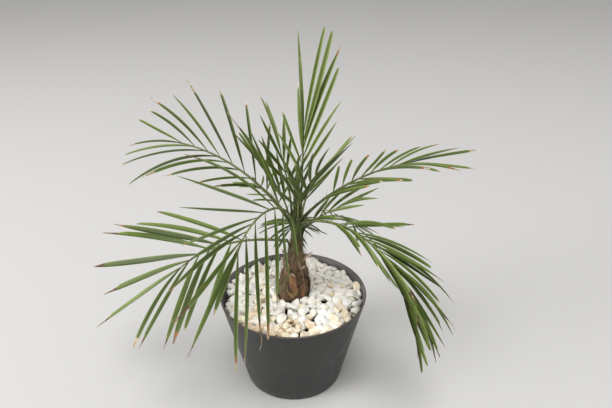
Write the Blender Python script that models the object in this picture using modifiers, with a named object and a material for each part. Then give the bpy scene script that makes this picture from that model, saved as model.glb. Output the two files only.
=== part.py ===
# Potted phoenix palm bonsai: a young palm with a brown swollen foot, in a tapered plastic pot
# topped with marble chips. Metres, +Z up. The origin is the centre of the pot's flat underside,
# and -Y is the side that faces a viewer.

import math
import random

import bmesh
import bpy
import numpy as np
from mathutils import Vector
from mathutils.bvhtree import BVHTree
from mathutils.geometry import delaunay_2d_cdt

# Clearance between two pieces that touch on the real plant
CLEARANCE = 0.0003

# Pot
POT_HEIGHT = 0.120
POT_RIM_RADIUS = 0.090
POT_BASE_RADIUS = 0.0615
POT_WALL = 0.0022
POT_FLOOR = 0.0035
POT_LIP_ROUNDING = 0.0007
POT_FOOT_CHAMFER = 0.0015
POT_SEGMENTS = 56
POT_SHARP_ANGLE = 30.0

# Soil and the layer of marble chips on it. The levels are those of the chips' middles, and each
# chip of the top layer is a peak with dips round it.
SOIL_TOP = 0.104
SOIL_SEGMENTS = 40
CHIP_EDGE_LEVEL = 0.1125
CHIP_CENTRE_LEVEL = 0.1155
CHIP_INNER_RADIUS = 0.0215
CHIP_SPACING = 0.0074
CHIP_EDGE_ROOM = 0.0042
CHIP_RISE = 0.0030
CHIP_DIP = 0.0012
CHIP_TRIES = 6000
CHIP_SEED = 21
CHIP_RING_SIDES = 40
CHIP_WELD = 0.00001
CHIP_DIGITS = 6      # decimals of a metre that tell one chip's place from another's

# Places where no chip lies and the soil shows: x, y and radius
BARE_SPOTS = (
    (-0.052, 0.001, 0.0058), (-0.010, -0.031, 0.0056), (0.040, -0.017, 0.0052), (0.082, -0.008, 0.0070),
    (0.072, -0.040, 0.0056), (-0.055, -0.041, 0.0054), (0.017, -0.069, 0.0052), (0.038, 0.033, 0.0052),
    (0.074, 0.024, 0.0050), (-0.080, -0.015, 0.0054), (0.060, -0.055, 0.0050), (-0.040, 0.050, 0.0050),
)

# Trunk: height above the pot's underside and radius, from the flat cut over the swollen foot and
# the neck, where the stalks of the fronds clasp it, to the tip of the spear of unopened leaves
TRUNK_PROFILE = (
    (SOIL_TOP + CLEARANCE, 0.0165),
    (0.110, 0.0180),
    (0.119, 0.0195),
    (0.129, 0.0190),
    (0.139, 0.0168),
    (0.149, 0.0143),
    (0.160, 0.0123),
    (0.175, 0.0105),
    (0.200, 0.0086),
    (0.215, 0.0076),
    (0.226, 0.0065),
    (0.245, 0.0045),
    (0.262, 0.0030),
    (0.276, 0.0012),
)
TRUNK_SIDES = 14
TRUNK_LEAN = 0.005
TRUNK_LEAN_FOOT = 0.120
TRUNK_LEAN_TOP = 0.200

# Dry stubs of old fronds round the neck of the trunk
STUB_COUNT = 8
STUB_LOWEST = 0.140
STUB_RISE = 0.0048
STUB_LENGTH = 0.015
STUB_HALF_WIDTH = 0.0034
STUB_HALF_THICKNESS = 0.0011
STUB_CLIMB = 52.0
STUB_FIRST_HEADING = 15.0
STUB_STATIONS = ((0.0, 1.0), (0.5, 0.9), (1.0, 0.45))
STUB_SIDES = 4
GOLDEN_ANGLE = 137.5

# Fronds: the midrib is a rib that thins towards its tip
RIB_STEPS = 24
RIB_STATIONS = 9
RIB_SIDES = 6
RIB_RADIUS_LEAST = 0.0011
RIB_RADIUS_PER_LENGTH = 0.006
RIB_TIP_SHARE = 0.42
RIB_STAND_OFF = 0.00045

# Leaflets: tapered blades of diamond section, each station as a share of length and of half width
BLADE_STATIONS = ((0.0, 0.34), (0.26, 1.0), (0.80, 0.84), (1.0, 0.10))
BLADE_SIDES = 4
BLADE_HALF_WIDTH_LEAST = 0.0024
BLADE_HALF_WIDTH_PER_LENGTH = 0.010
BLADE_HALF_THICKNESS_LEAST = 0.0005
BLADE_HALF_THICKNESS_PER_LENGTH = 0.0055
BLADE_THINNEST = 0.1
BLADE_THINNING = 1.4
STEEPEST_BLADE = 0.3
# Leaflets turn their upper sides from the frond's own towards the light, which comes from above
# and from the side of the viewer
LIGHT = Vector((-0.15, -0.55, 0.82))
LIGHT_PULL = 0.8
LAST_LEAFLET_PLACE = 0.97
ANGLE_JITTER = 4.0
LIFT_JITTER = 8.0
LENGTH_JITTER = 0.06

# A leaflet that would touch another frond, the trunk or the pot turns aside by one of these
# pairs of degrees, to the rib and out of the frond's plane, or is left out
SIDESTEPS = (
    (0, 0), (0, 6), (0, -6), (5, 0), (-5, 0),
    (0, 12), (0, -12), (5, 9), (-5, -9), (9, 0),
    (-9, 0), (0, 18), (0, -18), (9, 14), (-9, -14),
)
SIDESTEP_MARGIN = 0.00035

# Each frond: the heading it leaves the trunk on (0 is +X, 90 is away from the viewer), the height
# of its foot, the length of its rib, and the rib's slope at its start and its end, in degrees.
# A frond may turn sideways as it goes, fall late or early, and bend round a gap, where it is two
# pieces. Each side has a number of leaflets, the share of the rib where they start, and at the
# first, middle and last of them: the angle to the rib, the lift out of the frond's plane, the
# length and the sag.
FRONDS = {
    "frond_upright": {
        "heading": 60, "foot": 0.224, "length": 0.095, "climb": 85, "fall": 86,
        "left": {"count": 5, "start": 0.50, "angle": (40, 10, 3), "lift": (0, 0, 0),
                 "reach": (0.055, 0.085, 0.11), "sag": (0, 0, 0)},
        "right": {"count": 6, "start": 0.50, "angle": (34, 22, 9), "lift": (0, 0, 0),
                  "reach": (0.075, 0.12, 0.12), "sag": (0, 0, 0)},
    },
    "frond_back_left": {
        "heading": 150, "foot": 0.214, "length": 0.17, "climb": 50, "fall": 5, "turn": 12,
        "left": {"count": 8, "start": 0.30, "angle": (60, 50, 30), "lift": (5, 0, -5),
                 "reach": (0.07, 0.12, 0.065), "sag": (0.1, 0.38, 0.1)},
        "right": {"count": 8, "start": 0.25, "angle": (48, 22, 22), "lift": (45, 36, 10),
                  "reach": (0.085, 0.13, 0.09), "sag": (0, 0, 0)},
    },
    "frond_front": {
        "heading": 240, "foot": 0.222, "length": 0.125, "climb": 62, "fall": -50, "bend": 0.45,
        "left": {"count": 7, "start": 0.10, "angle": (75, 60, 20), "lift": (-48, -72, -45),
                 "reach": (0.065, 0.105, 0.10), "sag": (0.3, 0.3, 0.2)},
        "right": {"count": 9, "start": 0.30, "angle": (72, 54, 8), "lift": (50, -15, 0),
                  "reach": (0.12, 0.08, 0.105), "sag": (0.05, 0.05, 0.1)},
    },
    "frond_left": {
        "heading": 195, "foot": 0.192, "length": 0.135, "climb": 14, "fall": -42, "late": 1.5,
        "left": {"count": 7, "start": 0.40, "angle": (62, 58, 26), "lift": (-20, -20, -10),
                 "reach": (0.09, 0.105, 0.09), "sag": (0.2, 0.2, 0.15)},
        "right": {"count": 7, "start": 0.40, "angle": (38, 36, 14), "lift": (22, 17, 10),
                  "reach": (0.11, 0.15, 0.135), "sag": (0.05, 0.03, 0.05)},
    },
    "frond_right": {
        "heading": 22, "foot": 0.220, "length": 0.15, "climb": 46, "fall": 0, "late": 0.7,
        "left": {"count": 9, "start": 0.30, "angle": (52, 24, 3), "lift": (10, 0, 0),
                 "reach": (0.045, 0.07, 0.105), "sag": (0, 0, 0)},
        "right": {"count": 8, "start": 0.18, "angle": (30, 30, 18), "lift": (-6, -4, -12),
                  "reach": (0.06, 0.07, 0.085), "sag": (0.05, 0.1, 0.1)},
    },
    "frond_front_right": {
        "heading": -35, "foot": 0.218, "length": 0.16, "climb": 28, "fall": -67, "bend": 0.40,
        "left": {"count": 10, "start": 0.30, "angle": (36, 16, 9), "lift": (18, 10, 0),
                 "reach": (0.075, 0.10, 0.085), "sag": (0.2, 0.22, 0.1)},
        "right": {"count": 9, "start": 0.26, "angle": (28, 15, 9), "lift": (10, 0, 0),
                  "reach": (0.06, 0.085, 0.08), "sag": (0.2, 0.15, 0.1)},
    },
    "frond_rising_right": {
        "heading": -50, "foot": 0.224, "length": 0.065, "climb": 80, "fall": 55,
        "left": {"count": 5, "start": 0.40, "angle": (58, 44, 18), "lift": (10, 0, 0),
                 "reach": (0.055, 0.07, 0.065), "sag": (0, 0, 0)},
        "right": {"count": 4, "start": 0.40, "angle": (40, 28, 12), "lift": (20, 10, 0),
                  "reach": (0.045, 0.055, 0.055), "sag": (0, 0, 0)},
    },
    "frond_low_right": {
        "heading": 5, "foot": 0.208, "length": 0.045, "climb": 42, "fall": 22,
        "left": {"count": 4, "start": 0.25, "angle": (44, 26, 8), "lift": (0, 0, 0),
                 "reach": (0.045, 0.055, 0.055), "sag": (0, 0, 0)},
        "right": {"count": 3, "start": 0.35, "angle": (40, 25, 10), "lift": (0, 0, 0),
                  "reach": (0.04, 0.05, 0.05), "sag": (0.1, 0.1, 0.1)},
    },
    "frond_rising_left": {
        "heading": 130, "foot": 0.222, "length": 0.075, "climb": 85, "fall": 65,
        "left": {"count": 4, "start": 0.50, "angle": (40, 25, 8), "lift": (0, 0, 0),
                 "reach": (0.05, 0.06, 0.07), "sag": (0, 0, 0)},
        "right": {"count": 4, "start": 0.50, "angle": (40, 20, 8), "lift": (0, 0, 0),
                  "reach": (0.04, 0.05, 0.06), "sag": (0, 0, 0)},
    },
    "frond_inner_left": {
        "heading": 168, "foot": 0.221, "length": 0.055, "climb": 80, "fall": 52,
        "left": {"count": 4, "start": 0.35, "angle": (34, 22, 10), "lift": (0, 0, 0),
                 "reach": (0.05, 0.065, 0.07), "sag": (0, 0, 0)},
        "right": {"count": 4, "start": 0.35, "angle": (30, 18, 8), "lift": (0, 0, 0),
                  "reach": (0.06, 0.07, 0.06), "sag": (0, 0, 0)},
    },
    "frond_inner_front": {
        "heading": -80, "foot": 0.223, "length": 0.045, "climb": 86, "fall": 66,
        "left": {"count": 4, "start": 0.30, "angle": (38, 24, 8), "lift": (0, 0, 0),
                 "reach": (0.045, 0.055, 0.055), "sag": (0, 0, 0)},
        "right": {"count": 4, "start": 0.30, "angle": (38, 24, 8), "lift": (0, 0, 0),
                  "reach": (0.045, 0.055, 0.05), "sag": (0, 0, 0)},
    },
    "frond_back": {
        "heading": 95, "foot": 0.192, "length": 0.12, "climb": 0, "fall": -50,
        "left": {"count": 6, "start": 0.35, "angle": (60, 50, 20), "lift": (0, 0, 0),
                 "reach": (0.05, 0.07, 0.06), "sag": (0.1, 0.2, 0.2)},
        "right": {"count": 6, "start": 0.35, "angle": (60, 50, 20), "lift": (0, 0, 0),
                  "reach": (0.05, 0.07, 0.06), "sag": (0.1, 0.2, 0.2)},
    },
    "frond_behind_left": {
        "heading": 122, "foot": 0.204, "length": 0.10, "climb": 35, "fall": -10,
        "left": {"count": 5, "start": 0.42, "angle": (58, 47, 22), "lift": (0, 0, 0),
                 "reach": (0.03, 0.04, 0.05), "sag": (0.1, 0.1, 0.1)},
        "right": {"count": 5, "start": 0.38, "angle": (55, 45, 20), "lift": (10, 10, 0),
                  "reach": (0.04, 0.05, 0.05), "sag": (0, 0, 0.1)},
    },
    "frond_behind_right": {
        "heading": 50, "foot": 0.202, "length": 0.12, "climb": 10, "fall": -50,
        "left": {"count": 6, "start": 0.40, "angle": (55, 45, 20), "lift": (0, 0, 0),
                 "reach": (0.04, 0.05, 0.06), "sag": (0.1, 0.1, 0.1)},
        "right": {"count": 6, "start": 0.40, "angle": (55, 45, 20), "lift": (0, 0, 0),
                  "reach": (0.04, 0.05, 0.06), "sag": (0.1, 0.1, 0.1)},
    },
}
FROND_SEED = 3

# Colour, roughness and metallic value of each finish
FINISHES = {
    "pot plastic": ((0.045, 0.048, 0.050, 1.0), 0.55, 0.0),
    "dark soil": ((0.020, 0.014, 0.010, 1.0), 0.95, 0.0),
    "marble chips": ((0.82, 0.80, 0.75, 1.0), 0.6, 0.0),
    "palm trunk": ((0.060, 0.028, 0.016, 1.0), 0.9, 0.0),
    "palm leaf": ((0.070, 0.130, 0.035, 1.0), 0.45, 0.0),
}


def make_material(name):
    colour, roughness, metallic = FINISHES[name]
    material = bpy.data.materials.new(name)
    material.use_nodes = True
    shader = material.node_tree.nodes["Principled BSDF"]
    shader.inputs["Base Color"].default_value = colour
    shader.inputs["Roughness"].default_value = roughness
    shader.inputs["Metallic"].default_value = metallic
    return material


def add_object(name, mesh, collection, material):
    piece = bpy.data.objects.new(name, mesh)
    mesh.materials.clear()
    mesh.materials.append(material)
    collection.objects.link(piece)
    return piece


def mesh_from(shape, name):
    bmesh.ops.recalc_face_normals(shape, faces=shape.faces)
    mesh = bpy.data.meshes.new(name)
    shape.to_mesh(mesh)
    shape.free()
    return mesh


def evaluated_mesh(piece):
    bpy.context.view_layer.update()
    seen = piece.evaluated_get(bpy.context.evaluated_depsgraph_get())
    return bpy.data.meshes.new_from_object(seen)


def turned(name, profile, segments, collection, material):
    """A profile of (radius, height) points turned about the Z axis, down its outer side."""
    shape = bmesh.new()
    corners = [shape.verts.new((radius, 0.0, height)) for radius, height in profile]
    for first, second in zip(corners, corners[1:]):
        shape.edges.new((first, second))
    mesh = bpy.data.meshes.new(name)
    shape.to_mesh(mesh)
    shape.free()
    piece = add_object(name, mesh, collection, material)
    screw = piece.modifiers.new("turn", "SCREW")
    screw.steps = segments
    screw.render_steps = segments
    screw.use_merge_vertices = True
    screw.merge_threshold = 0.00001
    turned_mesh = evaluated_mesh(piece)
    piece.modifiers.clear()
    piece.data = turned_mesh
    bpy.data.meshes.remove(mesh)
    return piece


def pot_radius(height):
    """Outer radius of the pot's straight tapered wall."""
    return POT_BASE_RADIUS + (POT_RIM_RADIUS - POT_BASE_RADIUS) * height / POT_HEIGHT


def make_pot(collection, material):
    inner_rim = POT_RIM_RADIUS - POT_WALL
    inner_foot = pot_radius(POT_FLOOR) - POT_WALL
    profile = [
        (0.0, POT_FLOOR),
        (inner_foot, POT_FLOOR),
        (inner_rim, POT_HEIGHT - POT_LIP_ROUNDING),
        (inner_rim + POT_LIP_ROUNDING, POT_HEIGHT),
        (POT_RIM_RADIUS - POT_LIP_ROUNDING, POT_HEIGHT),
        (POT_RIM_RADIUS, POT_HEIGHT - POT_LIP_ROUNDING),
        (pot_radius(POT_FOOT_CHAMFER), POT_FOOT_CHAMFER),
        (POT_BASE_RADIUS - POT_FOOT_CHAMFER, 0.0),
        (0.0, 0.0),
    ]
    pot = turned("pot", profile, POT_SEGMENTS, collection, material)
    pot.data.shade_smooth()
    pot.data.set_sharp_from_angle(angle=math.radians(POT_SHARP_ANGLE))
    return pot


def make_soil(collection, material):
    bottom = POT_FLOOR + CLEARANCE
    inset = POT_WALL + 2 * CLEARANCE
    profile = [
        (0.0, SOIL_TOP),
        (pot_radius(SOIL_TOP) - inset, SOIL_TOP),
        (pot_radius(bottom) - inset, bottom),
        (0.0, bottom),
    ]
    return turned("soil", profile, SOIL_SEGMENTS, collection, material)


def chip_places():
    """Chips of the top layer, thrown at random over the ring, none too close to another."""
    chance = random.Random(CHIP_SEED)
    outer = pot_radius(CHIP_EDGE_LEVEL) - POT_WALL - CHIP_EDGE_ROOM
    places = []
    for attempt in range(CHIP_TRIES):
        radius = math.sqrt(chance.uniform(CHIP_INNER_RADIUS ** 2, outer ** 2))
        angle = chance.uniform(0.0, math.tau)
        x, y = radius * math.cos(angle), radius * math.sin(angle)
        if any(math.hypot(x - bare_x, y - bare_y) < reach for bare_x, bare_y, reach in BARE_SPOTS):
            continue
        if all(math.hypot(x - near_x, y - near_y) >= CHIP_SPACING for near_x, near_y in places):
            places.append((x, y))
    return places


def chip_level(radius):
    """Height of the chips' middles: mounded a little towards the trunk."""
    share = radius / (pot_radius(CHIP_EDGE_LEVEL) - POT_WALL)
    return CHIP_CENTRE_LEVEL + (CHIP_EDGE_LEVEL - CHIP_CENTRE_LEVEL) * share ** 2


def ring_points(radius, sides):
    turns = [math.tau * number / sides for number in range(sides)]
    return [Vector((radius * math.cos(turn), radius * math.sin(turn))) for turn in turns]


def ring_edges(first, sides):
    return [(first + number, first + (number + 1) % sides) for number in range(sides)]


def chip_net(inner, outer, places):
    """A flat ring of triangles with a corner at each chip."""
    corners = ring_points(outer, CHIP_RING_SIDES) + ring_points(inner, CHIP_RING_SIDES)
    corners += [Vector(place) for place in places]
    borders = ring_edges(0, CHIP_RING_SIDES) + ring_edges(CHIP_RING_SIDES, CHIP_RING_SIDES)
    points, edges, triangles = delaunay_2d_cdt(corners, borders, [], 0, CHIP_WELD)[:3]
    shape = bmesh.new()
    vertices = [shape.verts.new((point.x, point.y, 0.0)) for point in points]
    for triangle in triangles:
        middle = sum((points[number] for number in triangle), Vector((0.0, 0.0))) / 3
        if middle.length > inner:
            shape.faces.new([vertices[number] for number in triangle])
    return shape


def make_chips(collection, material):
    """The chip layer: a ring round the trunk whose top has a peak for each chip and dips between."""
    bottom = SOIL_TOP + CLEARANCE
    inner = max(radius for height, radius in TRUNK_PROFILE) + CLEARANCE
    outer = pot_radius(CHIP_EDGE_LEVEL - CHIP_DIP) - POT_WALL - 2 * CLEARANCE
    outer_low = pot_radius(bottom) - POT_WALL - 2 * CLEARANCE
    places = chip_places()
    shape = chip_net(inner, outer, places)
    inside = [edge for edge in shape.edges if len(edge.link_faces) == 2]
    bmesh.ops.subdivide_edges(shape, edges=inside, cuts=1)
    peaks = {(round(x, CHIP_DIGITS), round(y, CHIP_DIGITS)) for x, y in places}
    for vertex in shape.verts:
        place = (round(vertex.co.x, CHIP_DIGITS), round(vertex.co.y, CHIP_DIGITS))
        vertex.co.z = chip_level(vertex.co.length) + (CHIP_RISE if place in peaks else -CHIP_DIP)
    borders = [edge for edge in shape.edges if len(edge.link_faces) == 1]
    grown = bmesh.ops.extrude_edge_only(shape, edges=borders)["geom"]
    for vertex in grown:
        if isinstance(vertex, bmesh.types.BMVert):
            radius = math.hypot(vertex.co.x, vertex.co.y)
            if radius > (inner + outer) / 2:
                vertex.co *= outer_low / radius
            vertex.co.z = bottom
    floor_edges = [item for item in grown if isinstance(item, bmesh.types.BMEdge)]
    bmesh.ops.bridge_loops(shape, edges=floor_edges)
    return add_object("marble_chips", mesh_from(shape, "marble_chips"), collection, material)


def trunk_radius(height):
    heights = [level for level, radius in TRUNK_PROFILE]
    radii = [radius for level, radius in TRUNK_PROFILE]
    return float(np.interp(height, heights, radii))


def trunk_centre(height):
    """The trunk leans a little to +X above the chips."""
    share = min(max((height - TRUNK_LEAN_FOOT) / (TRUNK_LEAN_TOP - TRUNK_LEAN_FOOT), 0.0), 1.0)
    return Vector((TRUNK_LEAN * share, 0.0, height))


def swept(sections, sides):
    """A closed solid through a row of sections, each (centre, across, up) with half axes."""
    shape = bmesh.new()
    loop = list(bmesh.ops.create_circle(shape, cap_ends=False, segments=sides, radius=1.0)["verts"])
    unit_points = [vertex.co.copy() for vertex in loop]
    edges = list(shape.edges)
    for number, (centre, across, up) in enumerate(sections):
        if number:
            grown = bmesh.ops.extrude_edge_only(shape, edges=edges)["geom"]
            fresh = [item for item in grown if isinstance(item, bmesh.types.BMVert)]
            edges = [item for item in grown if isinstance(item, bmesh.types.BMEdge)]
            loop = [min(fresh, key=lambda v, old=old: (v.co - old.co).length_squared) for old in loop]
        for vertex, unit_point in zip(loop, unit_points):
            vertex.co = centre + across * unit_point.x + up * unit_point.y
    bmesh.ops.holes_fill(shape, edges=shape.edges, sides=sides)
    return shape


def make_stub(number):
    """One dry frond stub, a short blunt blade that leans out and up from inside the trunk."""
    heading = math.radians(STUB_FIRST_HEADING + GOLDEN_ANGLE * number)
    climb = math.radians(STUB_CLIMB)
    height = STUB_LOWEST + STUB_RISE * number
    out = Vector((math.cos(heading), math.sin(heading), 0.0))
    side = Vector((-math.sin(heading), math.cos(heading), 0.0))
    along = out * math.cos(climb) + Vector((0.0, 0.0, math.sin(climb)))
    across = along.cross(side)
    foot = trunk_centre(height) + out * (trunk_radius(height) - 2 * STUB_HALF_THICKNESS)
    sections = []
    for place, width in STUB_STATIONS:
        centre = foot + along * STUB_LENGTH * place
        sections.append((centre, side * STUB_HALF_WIDTH * width, across * STUB_HALF_THICKNESS))
    return mesh_from(swept(sections, STUB_SIDES), "stub")


def keep_outer_shell(mesh):
    """Fills sealed hollows and drops loose scraps: only the largest connected surface stays."""
    shape = bmesh.new()
    shape.from_mesh(mesh)
    waiting = set(shape.faces)
    shells = []
    while waiting:
        front = [waiting.pop()]
        shell = list(front)
        while front:
            face = front.pop()
            reached = {near for edge in face.edges for near in edge.link_faces if near in waiting}
            waiting -= reached
            shell.extend(reached)
            front.extend(reached)
        shells.append(shell)
    shells.sort(key=len)
    scraps = [face for shell in shells[:-1] for face in shell]
    bmesh.ops.delete(shape, geom=scraps, context="FACES")
    shape.to_mesh(mesh)
    shape.free()


def join_all(piece, meshes, material):
    """Fuses the piece with all the meshes by one union on a collection, then removes that collection."""
    operands = bpy.data.collections.new(piece.name + " operands")
    bpy.context.scene.collection.children.link(operands)
    for mesh in meshes:
        operand = add_object("operand", mesh, operands, material)
        operand.hide_render = True
        operand.display_type = "WIRE"
    union = piece.modifiers.new("union", "BOOLEAN")
    union.operation = "UNION"
    union.operand_type = "COLLECTION"
    union.collection = operands
    joined = evaluated_mesh(piece)
    keep_outer_shell(joined)
    piece.modifiers.clear()
    old = piece.data
    piece.data = joined
    bpy.data.meshes.remove(old)
    for operand in list(operands.objects):
        mesh = operand.data
        bpy.data.objects.remove(operand)
        bpy.data.meshes.remove(mesh)
    bpy.data.collections.remove(operands)


def make_trunk(collection, material):
    sections = []
    for height, radius in TRUNK_PROFILE:
        sections.append((trunk_centre(height), Vector((radius, 0.0, 0.0)), Vector((0.0, radius, 0.0))))
    trunk = add_object("trunk", mesh_from(swept(sections, TRUNK_SIDES), "trunk"), collection, material)
    join_all(trunk, [make_stub(number) for number in range(STUB_COUNT)], material)
    return trunk


def between(values, share):
    """A value read off first, middle and last by the share of the way along."""
    first, middle, last = values
    if share < 0.5:
        return first + (middle - first) * share * 2
    return middle + (last - middle) * (share - 0.5) * 2


def direction(heading, slope):
    level = Vector((math.cos(heading), math.sin(heading), 0.0))
    return level * math.cos(slope) + Vector((0.0, 0.0, math.sin(slope)))


def rib_radius(frond, share):
    foot_radius = RIB_RADIUS_LEAST + RIB_RADIUS_PER_LENGTH * frond["length"]
    return foot_radius * (1 + (RIB_TIP_SHARE - 1) * share)


def rib_line(frond):
    """Points, directions and headings along the rib, from its foot beside the trunk."""
    heading = math.radians(frond["heading"])
    turn = math.radians(frond.get("turn", 0))
    climb = math.radians(frond["climb"])
    fall = math.radians(frond["fall"])
    late = frond.get("late", 1.0)
    out = direction(heading, 0.0)
    stand_off = trunk_radius(frond["foot"]) + rib_radius(frond, 0.0) * math.sin(climb) + RIB_STAND_OFF
    point = trunk_centre(frond["foot"]) + out * stand_off
    line = []
    for step in range(RIB_STEPS + 1):
        share = step / RIB_STEPS
        slope = climb + (fall - climb) * share ** late
        line.append((point.copy(), direction(heading + turn * share, slope), heading + turn * share))
        middle = (step + 0.5) / RIB_STEPS
        slope = climb + (fall - climb) * middle ** late
        point += direction(heading + turn * middle, slope) * frond["length"] / RIB_STEPS
    return line


def on_rib(line, share):
    """Point and the frond's own axes at a share of the rib: along it, out of its plane, and to its left."""
    place = min(max(share, 0.0), 1.0) * RIB_STEPS
    step = min(int(place), RIB_STEPS - 1)
    part = place - step
    (first_point, first_along, first_heading), (point, along, heading) = line[step], line[step + 1]
    heading = first_heading + (heading - first_heading) * part
    along = (first_along * (1 - part) + along * part).normalized()
    level_left = Vector((-math.sin(heading), math.cos(heading), 0.0))
    normal = along.cross(level_left).normalized()
    left = normal.cross(along).normalized()
    return first_point * (1 - part) + point * part, along, normal, left


def rib_mesh(frond, line, start, end):
    sections = []
    for station in range(RIB_STATIONS):
        share = start + (end - start) * station / (RIB_STATIONS - 1)
        centre, along, normal, left = on_rib(line, share)
        radius = rib_radius(frond, share)
        sections.append((centre, left * radius, normal * radius))
    return mesh_from(swept(sections, RIB_SIDES), "rib")


def leaflet_plan(frond, line):
    """Each leaflet's place on the rib, its aim, length and sag, from the frond's few values."""
    chance = random.Random(FROND_SEED)
    plan = []
    for side_name, sign in (("left", 1.0), ("right", -1.0)):
        side = frond[side_name]
        for number in range(side["count"]):
            share = number / (side["count"] - 1)
            place = side["start"] + (LAST_LEAFLET_PLACE - side["start"]) * share
            turned_by = chance.uniform(-ANGLE_JITTER, ANGLE_JITTER)
            lifted_by = chance.uniform(-LIFT_JITTER, LIFT_JITTER)
            longer_by = chance.uniform(-LENGTH_JITTER, LENGTH_JITTER)
            plan.append({
                "place": place,
                "sign": sign,
                "angle": between(side["angle"], share) + turned_by,
                "lift": between(side["lift"], share) + lifted_by,
                "length": between(side["reach"], share) * (1 + longer_by),
                "sag": between(side["sag"], share),
                "root": on_rib(line, place),
            })
    return plan


def leaflet_sections(leaflet, extra_angle, extra_lift, margin):
    """The blade's stations, each (centre, half its width across, half its thickness)."""
    root, along, normal, left = leaflet["root"]
    angle = math.radians(leaflet["angle"] + extra_angle)
    lift = math.radians(leaflet["lift"] + extra_lift)
    sideways = left * leaflet["sign"] * math.cos(lift) + normal * math.sin(lift)
    aim = along * math.cos(angle) + sideways * math.sin(angle)
    length = leaflet["length"]
    half_width = BLADE_HALF_WIDTH_LEAST + BLADE_HALF_WIDTH_PER_LENGTH * length
    half_thickness = BLADE_HALF_THICKNESS_LEAST + BLADE_HALF_THICKNESS_PER_LENGTH * length
    drop = Vector((0.0, 0.0, -leaflet["sag"] * length))
    facing = (normal + LIGHT * LIGHT_PULL).normalized()
    if facing.cross(aim).length < STEEPEST_BLADE:
        facing = left
    sections = []
    for place, width in BLADE_STATIONS:
        centre = root + aim * length * place + drop * place ** 2
        tangent = (aim * length + drop * 2 * place).normalized()
        across = facing.cross(tangent).normalized()
        up = tangent.cross(across)
        thickness = half_thickness * max(BLADE_THINNEST, min(1.0, width * BLADE_THINNING))
        sections.append((centre, across * (half_width * width + margin), up * (thickness + margin)))
    return sections


def tree_of(mesh):
    corners = [vertex.co for vertex in mesh.vertices]
    faces = [tuple(polygon.vertices) for polygon in mesh.polygons]
    return BVHTree.FromPolygons(corners, faces)


def frond_pieces():
    """Each frond is one piece, or two where it bends: name, frond and the stretch of its rib."""
    pieces = []
    for name, frond in FRONDS.items():
        bend = frond.get("bend")
        if bend is None:
            pieces.append((name, frond, 0.0, 1.0))
            continue
        half_gap = CLEARANCE / frond["length"]
        pieces.append((name + "_inner", frond, 0.0, bend - half_gap))
        pieces.append((name + "_outer", frond, bend + half_gap, 1.0))
    return pieces


def clear_blade(leaflet, neighbours):
    """The leaflet's blade, turned aside as little as it takes to clear the neighbours, or None."""
    for extra_angle, extra_lift in SIDESTEPS:
        sections = leaflet_sections(leaflet, extra_angle, extra_lift, SIDESTEP_MARGIN)
        trial = mesh_from(swept(sections, BLADE_SIDES), "trial")
        trial_tree = tree_of(trial)
        bpy.data.meshes.remove(trial)
        if not any(trial_tree.overlap(tree) for tree in neighbours):
            sections = leaflet_sections(leaflet, extra_angle, extra_lift, 0.0)
            return mesh_from(swept(sections, BLADE_SIDES), "blade")
    return None


def make_fronds(collection, material, others):
    """Every frond: ribs first, then leaflets, each kept clear of the other pieces."""
    fixed_trees = [tree_of(piece.data) for piece in others]
    pieces = frond_pieces()
    ribs = {}
    placed = {}
    for name, frond, start, end in pieces:
        ribs[name] = rib_mesh(frond, rib_line(frond), start, end)
        placed[name] = [tree_of(ribs[name])]
    for name, frond, start, end in pieces:
        neighbours = list(fixed_trees)
        for other_name, trees in placed.items():
            if other_name != name:
                neighbours.extend(trees)
        blades = []
        for leaflet in leaflet_plan(frond, rib_line(frond)):
            if not start <= leaflet["place"] <= end:
                continue
            blade = clear_blade(leaflet, neighbours)
            if blade is not None:
                blades.append(blade)
                placed[name].append(tree_of(blade))
        piece = add_object(name, ribs[name], collection, material)
        join_all(piece, blades, material)


def main():
    for piece in list(bpy.data.objects):
        bpy.data.objects.remove(piece)
    collection = bpy.data.collections.new("potted phoenix palm bonsai")
    bpy.context.scene.collection.children.link(collection)
    pot = make_pot(collection, make_material("pot plastic"))
    make_soil(collection, make_material("dark soil"))
    chips = make_chips(collection, make_material("marble chips"))
    trunk = make_trunk(collection, make_material("palm trunk"))
    make_fronds(collection, make_material("palm leaf"), [pot, chips, trunk])


main()
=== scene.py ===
import math
import random
from functools import lru_cache

import bmesh
import bpy
from mathutils import Matrix, Vector, noise
from mathutils.bvhtree import BVHTree


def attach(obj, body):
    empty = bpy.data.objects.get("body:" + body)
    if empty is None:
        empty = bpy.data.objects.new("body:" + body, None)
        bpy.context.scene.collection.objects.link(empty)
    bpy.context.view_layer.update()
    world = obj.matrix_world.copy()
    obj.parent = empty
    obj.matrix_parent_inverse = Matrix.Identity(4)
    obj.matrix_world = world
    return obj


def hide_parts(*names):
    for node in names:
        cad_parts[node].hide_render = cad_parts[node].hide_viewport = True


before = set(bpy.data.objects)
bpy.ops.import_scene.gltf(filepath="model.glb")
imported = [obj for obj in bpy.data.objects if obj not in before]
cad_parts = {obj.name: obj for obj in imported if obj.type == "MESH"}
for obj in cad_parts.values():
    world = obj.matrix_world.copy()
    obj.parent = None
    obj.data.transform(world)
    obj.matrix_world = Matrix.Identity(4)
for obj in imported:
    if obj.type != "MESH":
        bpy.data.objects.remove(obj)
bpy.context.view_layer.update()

# Potted phoenix palm bonsai: the finish of the pot, chips, soil, trunk and fronds.
# Metres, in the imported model's frame: the origin is under the pot, the viewer is at -Y.

body = "root"
upward = Vector((0.0, 0.0, 1.0))
goldenAngle = 137.5

photoView = {
    "place": (0.0158, -0.5556, 0.5080),
    "downTilt": 25.85,      # degrees below the horizon
    "focalPixels": 540.0,
    "photoWidth": 612.0,
    "sensor": 36.0,
}


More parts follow.
